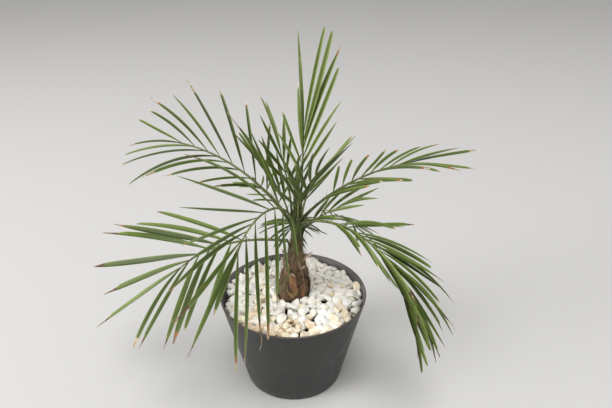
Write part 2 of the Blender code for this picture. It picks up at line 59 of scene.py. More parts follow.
def makeCamera():
    lens = bpy.data.cameras.new("photoView")
    lens.sensor_width = photoView["sensor"]
    lens.lens = photoView["focalPixels"] / photoView["photoWidth"] * photoView["sensor"]
    lens.clip_start = 0.01
    lens.clip_end = 50.0
    camera = bpy.data.objects.new("photoView", lens)
    camera.location = photoView["place"]
    camera.rotation_euler = (math.pi / 2 - math.radians(photoView["downTilt"]), 0.0, 0.0)
    bpy.context.scene.collection.objects.link(camera)
    bpy.context.scene.camera = camera


# Shader nodes, and the two groups that the materials share

# Gives a socket a plain value, a colour, or another socket to read
def feed(tree, value, socket):
    if isinstance(value, bpy.types.NodeSocket):
        tree.links.new(value, socket)
    elif socket.type == "RGBA":
        socket.default_value = (*value, 1)
    else:
        socket.default_value = value


# Adds a node with its inputs, by name or number, and its settings, and gives back its outputs
def addNode(tree, kind, inputs, **settings):
    node = tree.nodes.new("ShaderNode" + kind)
    for name, setting in settings.items():
        setattr(node, name, setting)
    for label, value in inputs.items():
        feed(tree, value, node.inputs[label])
    return node.outputs


def calculate(tree, operation, *values):
    return addNode(tree, "Math", dict(enumerate(values)), operation=operation)[0]


# A Mix node's factor is input 0, its colours are inputs 6 and 7, and output 2 is the mixed colour
def mixColours(tree, factor, first, second):
    return addNode(tree, "Mix", {0: factor, 6: first, 7: second}, data_type="RGBA")[2]


# 0 below low, 1 above high, smooth between them
def ramp(tree, value, low, high):
    inputs = {"Value": value, "From Min": low, "From Max": high}
    return addNode(tree, "MapRange", inputs, interpolation_type="SMOOTHSTEP")["Result"]


def noiseNode(tree, vector, scale, detail):
    return addNode(tree, "TexNoise", {"Vector": vector, "Scale": scale, "Detail": detail})["Fac"]


def newGroup(name, inputs, outputs):
    tree = bpy.data.node_groups.new(name, "ShaderNodeTree")
    for inOut, sockets in (("INPUT", inputs), ("OUTPUT", outputs)):
        for label, kind in sockets.items():
            tree.interface.new_socket(name=label, in_out=inOut, socket_type="NodeSocket" + kind)
    return tree, tree.nodes.new("NodeGroupInput").outputs, tree.nodes.new("NodeGroupOutput").inputs


def useGroup(tree, group, **inputs):
    return addNode(tree, "Group", inputs, node_tree=bpy.data.node_groups[group])


mottling = {
    "finer": 7.0,      # how much finer the specks are than the blotches
    "blotches": 0.65,      # how much each of them counts
    "specks": 0.35,
    "between": (0.36, 0.64),
}


# Blotches and specks: two colours mixed by coarse and fine noise, the mask that mixes them, and a height
def makeMottle():
    tree, given, result = newGroup(
        "mottle", {"Vector": "Vector", "Scale": "Float", "First": "Color", "Second": "Color"},
        {"Colour": "Color", "Mask": "Float", "Height": "Float"})
    blotches = noiseNode(tree, given["Vector"], given["Scale"], 3.0)
    fineScale = calculate(tree, "MULTIPLY", given["Scale"], mottling["finer"])
    specks = noiseNode(tree, given["Vector"], fineScale, 2.0)
    height = calculate(tree, "MULTIPLY", blotches, mottling["blotches"])
    height = calculate(tree, "MULTIPLY_ADD", specks, mottling["specks"], height)
    mask = ramp(tree, height, *mottling["between"])
    tree.links.new(mixColours(tree, mask, given["First"], given["Second"]), result["Colour"])
    tree.links.new(mask, result["Mask"])
    tree.links.new(height, result["Height"])


veining = {
    "count": 16.0,      # fine veins across a leaflet
    "veinPale": 0.10,
    "veinHeight": 0.6,
    # each band by its distance from the middle of the blade, and how much paler or deeper it is; the deeper
    # fold is painted shade and the paler margins a painted highlight
    # painted highlight along the margins, paler where the edges catch the light
    "margin": (0.34, 0.49),
    "marginHighlight": 0.55,
    "midrib": (0.01, 0.04),
    "midribPale": 0.30,
    # painted shade in the crease of the fold, darkest at the middle of the blade
    "fold": (0.03, 0.28),
    "foldShadeDepth": 0.45,
    "foldShadeColour": (0.008, 0.016, 0.002),
    "tipward": (0.45, 1.0),      # along the leaflet
    "tipPale": 0.25,
}


# A leaflet's colour over its own UV map: fine veins, painted shade that deepens the fold, a paler midrib,
# margins paler as a painted highlight, and a paler tip
def makeVeins():
    tree, given, result = newGroup("bladeVeins", {"UV": "Vector", "Colour": "Color", "Pale": "Color"},
                                   {"Colour": "Color", "Height": "Float"})
    parts = addNode(tree, "SeparateXYZ", {0: given["UV"]})
    wave = calculate(tree, "SINE", calculate(tree, "MULTIPLY", parts["X"], veining["count"] * math.tau))
    vein = calculate(tree, "MULTIPLY_ADD", wave, 0.5, 0.5)
    fromMiddle = calculate(tree, "ABSOLUTE", calculate(tree, "SUBTRACT", parts["X"], 0.5))
    # painted highlight: paler towards the margins
    margin = ramp(tree, fromMiddle, *veining["margin"])
    midrib = calculate(tree, "SUBTRACT", 1.0, ramp(tree, fromMiddle, *veining["midrib"]))
    # painted shade in the crease, strongest at the middle of the blade
    fold = calculate(tree, "SUBTRACT", 1.0, ramp(tree, fromMiddle, *veining["fold"]))
    pale = calculate(tree, "MAXIMUM", calculate(tree, "MULTIPLY", margin, veining["marginHighlight"]),
                     calculate(tree, "MULTIPLY", midrib, veining["midribPale"]))
    pale = calculate(tree, "MULTIPLY_ADD", vein, veining["veinPale"], pale)
    tipward = ramp(tree, parts["Y"], *veining["tipward"])
    pale = calculate(tree, "MULTIPLY_ADD", tipward, veining["tipPale"], pale)
    # the fold's painted shade darkens the colour towards the middle
    foldShade = calculate(tree, "MULTIPLY", fold, veining["foldShadeDepth"])
    deep = mixColours(tree, foldShade, given["Colour"], veining["foldShadeColour"])
    tree.links.new(mixColours(tree, pale, deep, given["Pale"]), result["Colour"])
    height = calculate(tree, "MULTIPLY_ADD", vein, veining["veinHeight"], midrib)
    tree.links.new(height, result["Height"])


# A material, its nodes, its shader's inputs and the places that its patterns can read
def newMaterial(name, roughness=0.5, specular=0.5):
    material = bpy.data.materials.new(name)
    material.use_nodes = True
    tree = material.node_tree
    shader = tree.nodes["Principled BSDF"].inputs
    shader["Roughness"].default_value = roughness
    shader["Specular IOR Level"].default_value = specular
    return material, tree, shader, addNode(tree, "TexCoord", {})


def squeezed(tree, vector, scale):
    return addNode(tree, "Mapping", {"Vector": vector, "Scale": scale})["Vector"]


def addBump(tree, shader, height, strength, distance):
    bump = addNode(tree, "Bump", {"Height": height, "Strength": strength, "Distance": distance})
    tree.links.new(bump["Normal"], shader["Normal"])


# Two colours in blotches with a matching bump. A finish holds the two colours, how fine the blotches are,
# the roughness, the bump and its depth and, for streaks, how the pattern is squeezed along each axis
def mottledMaterial(name, finish):
    first, second, scale, roughness, bump, depth, *squeeze = finish
    material, tree, shader, place = newMaterial(name, roughness)
    vector = squeezed(tree, place["Object"], squeeze[0]) if squeeze else place["Object"]
    blotches = useGroup(tree, "mottle", Vector=vector, Scale=scale, First=first, Second=second)
    tree.links.new(blotches["Colour"], shader["Base Color"])
    addBump(tree, shader, blotches["Height"], bump, depth)
    return material


# Mesh helpers

def closeMesh(shape, name, sharpAngle=None):
    mesh = bpy.data.meshes.new(name)
    shape.to_mesh(mesh)
    shape.free()
    mesh.shade_smooth()
    if sharpAngle:
        mesh.set_sharp_from_angle(angle=math.radians(sharpAngle))
    return mesh


# Makes a shape a piece that rides on the part, with its finishes, and hides the nodes it stands for. The
# slot is not used
def addPiece(name, shape, sharpAngle, materials, slot, *nodes):
    bmesh.ops.recalc_face_normals(shape, faces=shape.faces)
    piece = bpy.data.objects.new(name, closeMesh(shape, name, sharpAngle))
    for material in materials:
        piece.data.materials.append(material)
    bpy.context.scene.collection.objects.link(piece)
    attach(piece, body)
    if nodes:
        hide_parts(*nodes)


# A closed tube along Y from 0 to 1, radius 1, with a UV map across it and along it. Each kind is made once
@lru_cache(maxsize=None)
def unitTube(sides, stations):
    shape = bmesh.new()
    layer = shape.loops.layers.uv.new("UVMap")
    ring = bmesh.ops.create_circle(shape, cap_ends=False, segments=sides, radius=1.0)["verts"]
    turn = Matrix.Rotation(math.pi / 2, 3, "X")
    bmesh.ops.rotate(shape, verts=ring, cent=(0, 0, 0), matrix=turn)
    edges = list(shape.edges)
    for station in range(1, stations):
        grown = bmesh.ops.extrude_edge_only(shape, edges=edges)["geom"]
        fresh = [item for item in grown if isinstance(item, bmesh.types.BMVert)]
        edges = [item for item in grown if isinstance(item, bmesh.types.BMEdge)]
        bmesh.ops.translate(shape, verts=fresh, vec=(0, 1 / (stations - 1), 0))
    bmesh.ops.holes_fill(shape, edges=shape.edges, sides=sides)
    bmesh.ops.recalc_face_normals(shape, faces=shape.faces)
    for face in shape.faces:
        for loop in face.loops:
            loop[layer].uv = (0.5 + 0.5 * loop.vert.co.x, loop.vert.co.y)
    return closeMesh(shape, "unitTube")


# Adds one copy of a unit mesh, each of its points put in place by a function. Its material is a number,
# or a function of a face's middle
def addCopy(shape, unit, place, material=0):
    part = bmesh.new()
    part.from_mesh(unit)
    for face in part.faces:
        face.material_index = material(face.calc_center_median()) if callable(material) else material
    for vertex in part.verts:
        vertex.co = place(vertex.co)
    mesh = bpy.data.meshes.new("copy")
    part.to_mesh(mesh)
    part.free()
    shape.from_mesh(mesh)
    bpy.data.meshes.remove(mesh)


# A profile of radii and heights turned round the Z axis
def turned(profile, steps):
    shape = bmesh.new()
    corners = [shape.verts.new((radius, 0.0, height)) for radius, height in profile]
    for first, second in zip(corners, corners[1:]):
        shape.edges.new((first, second))
    bmesh.ops.spin(shape, geom=shape.verts[:] + shape.edges[:], cent=(0, 0, 0), axis=(0, 0, 1),
                   angle=math.tau, steps=steps, use_merge=True)
    bmesh.ops.remove_doubles(shape, verts=shape.verts, dist=0.00001)
    bmesh.ops.recalc_face_normals(shape, faces=shape.faces)
    return shape


# A value read off a row of (place, value) points, straight between them
def readCurve(points, value):
    for (low, lowValue), (high, highValue) in zip(points, points[1:]):
        if value <= high:
            share = (value - low) / (high - low)
            return lowValue + (highValue - lowValue) * max(share, 0.0)
    return points[-1][1]


# A random amount up to most, to either side
def stray(chance, most):
    return chance.uniform(-most, most)


# How thick something is at a share of its length, from what it has at its foot and what it loses by its end
def tapered(taper, share):
    foot, loss = taper
    return foot - loss * share


# Pot

pot = {
    "height": 0.120,
    "rimRadius": 0.090,
    "footRadius": 0.0615,
    "wall": 0.0022,
    "floor": 0.0035,
    "chamfer": 0.0015,
    "chamferCorner": (0.35, 0.3),      # the corner half way round it, in chamfers: inwards and up
    "insideEdge": 0.002,      # width of the ring of faces at the floor's edge
    "lip": 0.0007,
    "roundSteps": 144,
    "wallSteps": 16,
    "lipSteps": 8,
    "dark": (0.014, 0.014, 0.014),
    "light": (0.028, 0.028, 0.027),
    "blotches": 55.0,
    "sheen": (0.16, 0.32),      # how much the blotches change the roughness, and the least
    "specular": 0.45,
    "grain": 1400.0,
    "grainBump": (0.12, 0.0004),      # strength and depth
    # painted light: the inside of the wall is a far lighter grey than the same plastic outside
    "inside": (0.150, 0.150, 0.147),
    "rimBrown": (0.110, 0.078, 0.058),
    "rimBand": (0.0016, 0.0004),      # how far below the top the brown starts and is full
    "rimStrength": (0.6, 0.3),      # how much the blotches change it, and the least
    "dust": (0.115, 0.110, 0.102),
    "dustSpecks": (420.0, 0.56, 0.70),      # how fine, and between which levels of the noise
    "dustHeight": 0.022,
    "footDust": (0.5, 0.12),      # in the specks, and between them
    "wallDust": 0.07,
}


def potRadius(height):
    return pot["footRadius"] + (pot["rimRadius"] - pot["footRadius"]) * height / pot["height"]


def potMaterial():
    material, tree, shader, place = newMaterial("potPlastic", specular=pot["specular"])
    blotches = useGroup(tree, "mottle", Vector=place["Object"], Scale=pot["blotches"], First=pot["dark"],
                        Second=pot["light"])
    parts = addNode(tree, "SeparateXYZ", {0: place["Object"]})
    rim = ramp(tree, parts["Z"], *(pot["height"] - depth for depth in pot["rimBand"]))
    browned = calculate(tree, "MULTIPLY_ADD", blotches["Mask"], *pot["rimStrength"])
    rim = calculate(tree, "MULTIPLY", rim, browned)
    scale, *levels = pot["dustSpecks"]
    specks = ramp(tree, noiseNode(tree, place["Object"], scale, 4.0), *levels)
    foot = calculate(tree, "SUBTRACT", 1.0, ramp(tree, parts["Z"], 0.0, pot["dustHeight"]))
    foot = calculate(tree, "MULTIPLY", foot, calculate(tree, "MULTIPLY_ADD", specks, *pot["footDust"]))
    dusty = calculate(tree, "MULTIPLY_ADD", specks, pot["wallDust"], foot)
    colour = mixColours(tree, dusty, blotches["Colour"], pot["dust"])
    squares = [calculate(tree, "POWER", parts[axis], 2.0) for axis in "XY"]
    fromAxis = calculate(tree, "POWER", calculate(tree, "ADD", *squares), 0.5)
    slope = (pot["rimRadius"] - pot["footRadius"]) / pot["height"]
    fromFoot = calculate(tree, "SUBTRACT", fromAxis, calculate(tree, "MULTIPLY", parts["Z"], slope))
    # painted light on the inner face of the wall, lighter than the outside
    inner = calculate(tree, "LESS_THAN", fromFoot, pot["footRadius"] - pot["wall"] / 2)
    colour = mixColours(tree, inner, colour, pot["inside"])
    colour = mixColours(tree, rim, colour, pot["rimBrown"])
    tree.links.new(colour, shader["Base Color"])
    rough = calculate(tree, "MULTIPLY_ADD", blotches["Mask"], *pot["sheen"])
    tree.links.new(rough, shader["Roughness"])
    addBump(tree, shader, noiseNode(tree, place["Object"], pot["grain"], 2.0), *pot["grainBump"])
    return material


def makePot():
    wall, lip, floor, chamfer = (pot[name] for name in ("wall", "lip", "floor", "chamfer"))
    shoulder = pot["height"] - lip      # where the straight wall meets the rounded lip
    inside = pot["rimRadius"] - wall
    insideFoot = potRadius(floor) - wall
    steps = pot["wallSteps"]
    profile = [(0.0, floor), (insideFoot - pot["insideEdge"], floor)]
    for step in range(steps + 1):
        share = step / steps
        profile.append((insideFoot + (inside - insideFoot) * share, floor + (shoulder - floor) * share))
    for step in range(1, pot["lipSteps"]):
        angle = math.pi * (1 - step / pot["lipSteps"])
        radius = pot["rimRadius"] - wall / 2 + wall / 2 * math.cos(angle)
        profile.append((radius, shoulder + lip * math.sin(angle)))
    for step in range(steps + 1):
        height = shoulder + (chamfer - shoulder) * step / steps
        profile.append((potRadius(height), height))
    foot = pot["footRadius"]
    inwards, up = pot["chamferCorner"]
    profile += [(foot - chamfer * inwards, chamfer * up), (foot - chamfer, 0.0), (0.0, 0.0)]
    addPiece("pot-shell", turned(profile, pot["roundSteps"]), 40, [potMaterial()], "pot_plastic", "pot")


# Soil

soil = {
    "top": 0.1034,
    "room": 0.0006,      # between the mix and the pot's wall; half of it over the floor
    "roughness": 0.0012,
    "surface": 0.001,      # how deep under the top it is rough
    "lumps": 220.0,
    "crumbs": 420,
    "crumbSize": (0.0006, 0.0018),
    "crumbSpread": (0.05, 0.98),
    "rings": 34,
    "roundSteps": 96,
    "seed": 11,
    "finish": ((0.024, 0.016, 0.010), (0.085, 0.058, 0.037), 300.0, 0.95, 0.8, 0.001),
}


def makeSoil():
    chance = random.Random(soil["seed"])
    outside = potRadius(soil["top"]) - pot["wall"] - soil["room"]
    foot = potRadius(pot["floor"]) - pot["wall"] - soil["room"]
    low = pot["floor"] + soil["room"] / 2
    profile = [(outside * ring / soil["rings"], soil["top"]) for ring in range(soil["rings"] + 1)]
    shape = turned(profile + [(foot, low), (0.0, low)], soil["roundSteps"])
    for vertex in shape.verts:
        if vertex.co.z > soil["top"] - soil["surface"]:
            vertex.co.z += soil["roughness"] * noise.noise(vertex.co * soil["lumps"])
    for crumb in range(soil["crumbs"]):
        radius = outside * math.sqrt(chance.uniform(*soil["crumbSpread"]))
        angle = chance.uniform(0.0, math.tau)
        size = chance.uniform(*soil["crumbSize"])
        place = Matrix.Translation((radius * math.cos(angle), radius * math.sin(angle), soil["top"]))
        bmesh.ops.create_icosphere(shape, subdivisions=1, radius=size, matrix=place)
    finish = mottledMaterial("pottingSoil", soil["finish"])
    addPiece("potting-soil", shape, 40, [finish], "potting_soil", "soil")


# Marble chips

chips = {
    "edgeLevel": 0.1125,      # height of the chips' middles by the pot's wall
    "centreLevel": 0.1155,      # and by the trunk
    "innerRadius": 0.0215,
    "edgeRoom": 0.0042,
    "spacing": 0.0077,      # least distance between two chips of a layer
    "size": (0.0040, 0.0060),      # half of a chip's mean width
    "layers": (0.0, 0.0046),      # how far each layer lies below the top
    "tries": 6000,
    "roundness": 0.66,      # how far a chip is pulled from a cube to a ball
    "ball": 1.25,
    "stretch": ((0.98, 1.45), (0.82, 1.10), (0.66, 0.96)),
    "tilt": 30,      # degrees
    "settling": (-0.0008, 0.0010),
    "cuts": (6, 9),      # flat faces broken off each chip
    "cutDepth": (0.62, 0.92),
    "lumps": 1.3,
    "lumpiness": 0.22,
    "wallGap": 0.0003,
    "trunkGap": 0.0004,
    "seed": 21,
    "bareReach": 1.08,      # how many of its radii the chips' middles keep away from a bare spot
    # where a little soil shows between the chips: x, y and radius
    "bareSpots": (
        (-0.052, 0.001, 0.0058), (-0.010, -0.031, 0.0056), (0.040, -0.017, 0.0052), (0.082, -0.008, 0.0070),
        (0.072, -0.040, 0.0056), (-0.055, -0.041, 0.0054), (0.017, -0.069, 0.0052), (0.038, 0.033, 0.0052),
        (0.074, 0.024, 0.0050), (-0.080, -0.015, 0.0054), (0.060, -0.055, 0.0050), (-0.040, 0.050, 0.0050),
        (-0.008, -0.043, 0.0062), (-0.058, -0.058, 0.0054), (0.040, -0.060, 0.0054), (0.003, -0.058, 0.0050),
        (0.044, 0.010, 0.0050), (-0.030, -0.072, 0.0052), (0.071, -0.024, 0.0056), (0.026, -0.044, 0.0050),
    ),
    "stones": {
        "white": ((0.84, 0.80, 0.72), (0.94, 0.92, 0.87)),
        "cool": ((0.82, 0.83, 0.79), (0.92, 0.92, 0.89)),
        "cream": ((0.76, 0.63, 0.43), (0.93, 0.87, 0.73)),
        "peach": ((0.66, 0.48, 0.30), (0.91, 0.80, 0.63)),
    },
    "grain": (150.0, 0.5, 0.4, 0.0006),
    # the share of stained chips at the back and what the front adds: cream alone, then cream and peach
    "stained": {2: (0.05, 0.70), 3: (0.06, 0.80)},
    "cool": 0.20,
}


# Chips thrown at random over the ring, no two of a layer closer than the spacing
def chipPlaces(chance, depth):
    outer = potRadius(chips["edgeLevel"] - depth) - pot["wall"] - chips["edgeRoom"]
    spacing = chips["spacing"]
    found = []
    cells = {}
    for attempt in range(chips["tries"]):
        radius = math.sqrt(chance.uniform(chips["innerRadius"] ** 2, outer ** 2))
        angle = chance.uniform(0.0, math.tau)
        x, y = radius * math.cos(angle), radius * math.sin(angle)
        if any(math.hypot(x - spotX, y - spotY) < reach * chips["bareReach"]
               for spotX, spotY, reach in chips["bareSpots"]):
            continue
        column, line = int(x // spacing), int(y // spacing)
        near = [point for i in (-1, 0, 1) for j in (-1, 0, 1)
                for point in cells.get((column + i, line + j), ())]
        if any(math.hypot(x - nearX, y - nearY) < spacing for nearX, nearY in near):
            continue
        cells.setdefault((column, line), []).append((x, y))
        found.append((x, y))
    return found


def chipLevel(radius):
    share = radius / (potRadius(chips["edgeLevel"]) - pot["wall"])
    return chips["centreLevel"] + (chips["edgeLevel"] - chips["centreLevel"]) * share ** 2


# A cube divided twice each way and pulled part of the way to a ball
def unitChip():
    shape = bmesh.new()
    bmesh.ops.create_cube(shape, size=2.0)
    bmesh.ops.subdivide_edges(shape, edges=shape.edges, cuts=2, use_grid_fill=True)
    for vertex in shape.verts:
        vertex.co = vertex.co.lerp(vertex.co.normalized() * chips["ball"], chips["roundness"])
    return closeMesh(shape, "unitChip")


# Which stone a chip is: the cream and peach ones lie towards the front, where the water has stained them
def chipKind(chance, y):
    front = 0.5 - y / (2 * pot["rimRadius"])
    roll = chance.random()
    for kind, (share, more) in chips["stained"].items():
        if roll < share + more * front ** 3:
            return kind
    return int(roll > 1 - chips["cool"])


# Keeps a point of a chip inside the pot's wall and outside the trunk
def heldBetween(point):
    radius = math.hypot(point.x, point.y)
    most = potRadius(point.z) - pot["wall"] - chips["wallGap"]
    least = trunkRadius(max(point.z, trunk["profile"][0][0])) + chips["trunkGap"]
    held = min(max(radius, least), most)
    return Vector((point.x * held / radius, point.y * held / radius, point.z))


def makeChips():
    chance = random.Random(chips["seed"])
    unit = unitChip()
    shape = bmesh.new()
    count = 0
    for depth in chips["layers"]:
        for x, y in chipPlaces(chance, depth):
            size = chance.uniform(*chips["size"])
            scale = Vector(size * chance.uniform(*span) for span in chips["stretch"])
            turn = Matrix.Rotation(chance.uniform(0, math.tau), 3, "Z")
            for axis in "XY":
                turn = turn @ Matrix.Rotation(math.radians(stray(chance, chips["tilt"])), 3, axis)
            level = chipLevel(math.hypot(x, y)) - depth + chance.uniform(*chips["settling"])
            centre = Vector((x, y, level))
            start = Vector((stray(chance, 90), stray(chance, 90), count))
            cuts = []
            for cut in range(chance.randint(*chips["cuts"])):
                facing = Vector(chance.gauss(0, 1) for axis in range(3)).normalized()
                cuts.append((facing, chance.uniform(*chips["cutDepth"])))

            def place(point):
                point = point * (1 + chips["lumpiness"] * noise.noise(point * chips["lumps"] + start))
                for facing, reach in cuts:
                    point = point - facing * max(point.dot(facing) - reach, 0.0)
                return heldBetween(centre + turn @ Vector(a * b for a, b in zip(point, scale)))

            addCopy(shape, unit, place, chipKind(chance, y))
            count += 1
    finishes = [mottledMaterial("marble" + name.title(), (*colours, *chips["grain"]))
                for name, colours in chips["stones"].items()]
    addPiece("marble-chips", shape, 44, finishes, "marble", "marble_chips")
    print("chips:", count)


# Trunk

trunk = {
    # height above the ground and radius, from the flat cut to the tip of the spear of unopened leaves
    "profile": (
        (0.1043, 0.0165), (0.110, 0.0180), (0.119, 0.0195), (0.129, 0.0190), (0.139, 0.0168),
        (0.149, 0.0143), (0.160, 0.0123), (0.175, 0.0105), (0.200, 0.0086), (0.215, 0.0076),
        (0.226, 0.0065), (0.245, 0.0045), (0.262, 0.0030), (0.276, 0.0012),
    ),
    # the neck itself, narrower than the ring of stalks that clasp it
    "core": (
        (0.1043, 0.0163), (0.110, 0.0176), (0.119, 0.0190), (0.129, 0.0184), (0.139, 0.0163),
        (0.149, 0.0139), (0.160, 0.0112), (0.170, 0.0089), (0.180, 0.0074), (0.190, 0.0062),
        (0.200, 0.0056), (0.215, 0.0051), (0.226, 0.0047), (0.245, 0.0034), (0.262, 0.0022), (0.276, 0.0010),
    ),
    "lean": 0.005,
    "leanSpan": (0.120, 0.200),      # the heights between which it leans
    "sides": 84,
    "rings": 90,
    # how fine the relief is round the trunk and along it, and how deep
    "relief": ((9, 70, 0.0010), (34, 150, 0.0007), (2.2, 60, 0.0016)),
    "reliefSunk": 0.0003,
    "reliefFade": (0.01, 0.012),      # full from this high above the cut, where the radius is at least this
    "seed": 5,
    # the fibre's two browns, its two greens higher up, the heights between them, roughness and bump
    "finish": (
        ((0.016, 0.010, 0.007), (0.090, 0.058, 0.034)),
        ((0.022, 0.033, 0.007), (0.070, 0.088, 0.024)),
        (0.194, 0.220), 0.85, 0.8,
    ),
}


def trunkRadius(height):
    return readCurve(trunk["profile"], height)


def coreRadius(height):
    return readCurve(trunk["core"], height)


def trunkCentre(height):
    low, high = trunk["leanSpan"]
    share = (height - low) / (high - low)
    return Vector((trunk["lean"] * min(max(share, 0.0), 1.0), 0.0, height))


# Outward and sideways directions at a heading round the trunk
def aroundTrunk(heading):
    out = Vector((math.cos(heading), math.sin(heading), 0.0))
    return out, Vector((-math.sin(heading), math.cos(heading), 0.0))


# A point that follows the trunk's round, so far to the side of its heading and so far off the bark
def onTrunk(height, out, side, sideways, standing):
    bark = math.sqrt(max(coreRadius(height) ** 2 - sideways ** 2, 0.0))
    return trunkCentre(height) + side * sideways + out * (bark + standing)


rising = {
    "fine": 260.0,
    "squeeze": (1, 1, 0.15),
    "raggedness": 0.5,      # of the change between the two pairs, as a share of its height
    "specular": 0.35,
    "depth": 0.0010,
}


# A streaky finish that changes from one pair of colours to another between two heights
def risingMaterial(name, lowPair, highPair, heights, roughness, bump):
    material, tree, shader, place = newMaterial(name, roughness, rising["specular"])
    vector = squeezed(tree, place["Object"], rising["squeeze"])
    low, high = (useGroup(tree, "mottle", Vector=vector, Scale=rising["fine"], First=first, Second=second)
                 for first, second in (lowPair, highPair))
    height = addNode(tree, "SeparateXYZ", {0: place["Object"]})["Z"]
    reach = (heights[1] - heights[0]) * rising["raggedness"]
    ragged = calculate(tree, "MULTIPLY_ADD", low["Mask"], reach, height)
    colour = mixColours(tree, ramp(tree, ragged, *heights), low["Colour"], high["Colour"])
    tree.links.new(colour, shader["Base Color"])
    addBump(tree, shader, low["Height"], bump, rising["depth"])
    return material


def makeTrunk():
    low, high = trunk["core"][0][0], trunk["core"][-1][0]
    above, outFrom = trunk["reliefFade"]
    shape = bmesh.new()

    def place(point):
        height = low + (high - low) * point.y
        angle = math.atan2(point.z, point.x)
        radius = coreRadius(height) * math.hypot(point.x, point.z)
        around = Vector((math.cos(angle), math.sin(angle), 0.0))
        relief = sum(depth * noise.noise(Vector((around.x * fine, around.y * fine, height * along)))
                     for fine, along, depth in trunk["relief"]) - trunk["reliefSunk"]
        relief *= min((height - low) / above, 1.0) * min(radius / outFrom, 1.0)
        return trunkCentre(height) + around * (radius + relief)

    addCopy(shape, unitTube(trunk["sides"], trunk["rings"]), place)
    fibre = risingMaterial("trunkFibre", *trunk["finish"])
    addPiece("trunk-core", shape, 60, [fibre], "palm_trunk", "trunk")


leafBases = {
    "count": 46,
    "lowest": 0.105,
    "rise": 0.064,
    "turn": 16,      # how far one strays from the spiral, degrees
    "length": 0.017,
    "longer": (-0.002, 0.005),
    "halfWidth": (0.0088, 0.0040),      # at the foot and at the neck
    "wider": 0.0010,
    "stand": 0.0003,
    "curl": (-0.0004, 0.0016),
    "slant": 0.14,
    "thickness": (0.0011, 0.0003),      # at its foot and at its end
    "ragged": (0.22, 0.0016, 0.0003),      # in its width, its length and its face
    "tube": (12, 11),      # sides and stations
    # bare ones that show on the front of the foot: heading, height, length, half width, stand and finish
    "bare": (
        (268, 0.1235, 0.0180, 0.0070, 0.0009, 3), (265, 0.1290, 0.0260, 0.0066, 0.0012, 2),
        (225, 0.1270, 0.0230, 0.0058, 0.0006, 1), (304, 0.1170, 0.0230, 0.0052, 0.0005, 2),
    ),
    # width along a torn one and a bare one, as a share of the widest
    "torn": ((0.0, 0.85), (0.25, 1.0), (0.6, 0.92), (0.82, 0.70), (0.94, 0.42), (1.0, 0.12)),
    "rounded": ((0.0, 0.30), (0.06, 0.62), (0.15, 0.86), (0.30, 1.0), (0.55, 0.95), (0.80, 0.70),
                (0.93, 0.42), (1.0, 0.12)),
    "streaks": (1, 1, 0.16),
    "finishes": {
        "leafBase": ((0.026, 0.016, 0.010), (0.270, 0.165, 0.090), 300.0, 0.9, 0.9, 0.0010),
        "leafBaseOlive": ((0.050, 0.042, 0.018), (0.200, 0.158, 0.075), 280.0, 0.85, 0.8, 0.0010),
        "leafBaseRust": ((0.042, 0.020, 0.011), (0.34, 0.165, 0.070), 150.0, 0.8, 0.7, 0.0010),
        "leafBaseOchre": ((0.12, 0.070, 0.028), (0.42, 0.29, 0.120), 240.0, 0.85, 0.7, 0.0010),
    },
}


# Old leaf bases: broad torn scales that lap upwards round the foot and the neck
def makeLeafBases():
    chance = random.Random(trunk["seed"])
    wide, narrow = leafBases["halfWidth"]
    thick, thin = leafBases["thickness"]
    wavy, uneven, rough = leafBases["ragged"]
    rows = []
    for number in range(leafBases["count"]):
        share = number / (leafBases["count"] - 1)
        rows.append((
            goldenAngle * number + stray(chance, leafBases["turn"]),
            leafBases["lowest"] + leafBases["rise"] * share,
            leafBases["length"] + chance.uniform(*leafBases["longer"]),
            wide + (narrow - wide) * share + stray(chance, leafBases["wider"]),
            leafBases["stand"],
            chance.choice((0, 0, 1)),
        ))
    shape = bmesh.new()
    for turn, height, length, halfWidth, stand, finish in [*rows, *leafBases["bare"]]:
        outline = leafBases["torn" if finish < 2 else "rounded"]
        curl = chance.uniform(*leafBases["curl"])
        slant = stray(chance, leafBases["slant"])
        out, side = aroundTrunk(math.radians(turn))
        start = stray(chance, 100)

        def place(point):
            width = halfWidth * readCurve(outline, point.y)
            width *= 1 + wavy * noise.noise(Vector((point.x, point.y * 6, start)))
            ragged = uneven * noise.noise(Vector((point.x * 3, start, 0.0))) * point.y
            sideways = point.x * width + slant * length * point.y
            skin = -point.z * (thick + (thin - thick) * point.y)
            lift = stand + curl * point.y ** 3
            lift += rough * noise.noise(Vector((point.x * 4, point.y * 3, start)))
            return onTrunk(height + length * point.y + ragged, out, side, sideways, skin + lift)

        addCopy(shape, unitTube(*leafBases["tube"]), place, finish)
    finishes = [mottledMaterial(name, (*finish, leafBases["streaks"]))
                for name, finish in leafBases["finishes"].items()]
    addPiece("trunk-leaf-bases", shape, 50, finishes, "palm_trunk")


sheath = {
    "foot": 0.136,      # height where the lowest stalks come out of the brown foot
    "footRise": (0.55, 0.19),      # how much higher one starts for a frond that leaves above this height
    "halfWidth": 0.0031,
    "outline": ((0.0, 0.8), (0.2, 1.5), (0.5, 1.35), (0.8, 1.0), (1.0, 0.8)),
    "halfThickness": 0.0012,
    "neckShare": (0.6, 0.6),      # how much of it there is on the neck, and what the lean adds
    "channel": 0.0005,
    "stand": 0.0006,
    "wrap": 0.7,      # how closely it follows the neck's round
    "sunk": (0.0016, 0.12),      # its foot lies in the fibre: how deep, and up to which share of it
    "overlap": 0.001,      # with the rib's foot, upwards
    "tuck": 0.0010,      # and inwards
    "joinRise": 0.018,      # how far below its frond a stalk begins to lean out to it
    "joinCurve": 1.5,
    "tube": (10, 20),      # sides and stations
    "finish": (
        ((0.036, 0.024, 0.013), (0.165, 0.105, 0.054)),
        ((0.022, 0.034, 0.006), (0.082, 0.108, 0.024)),
        (0.174, 0.204), 0.55, 0.5,
    ),
}


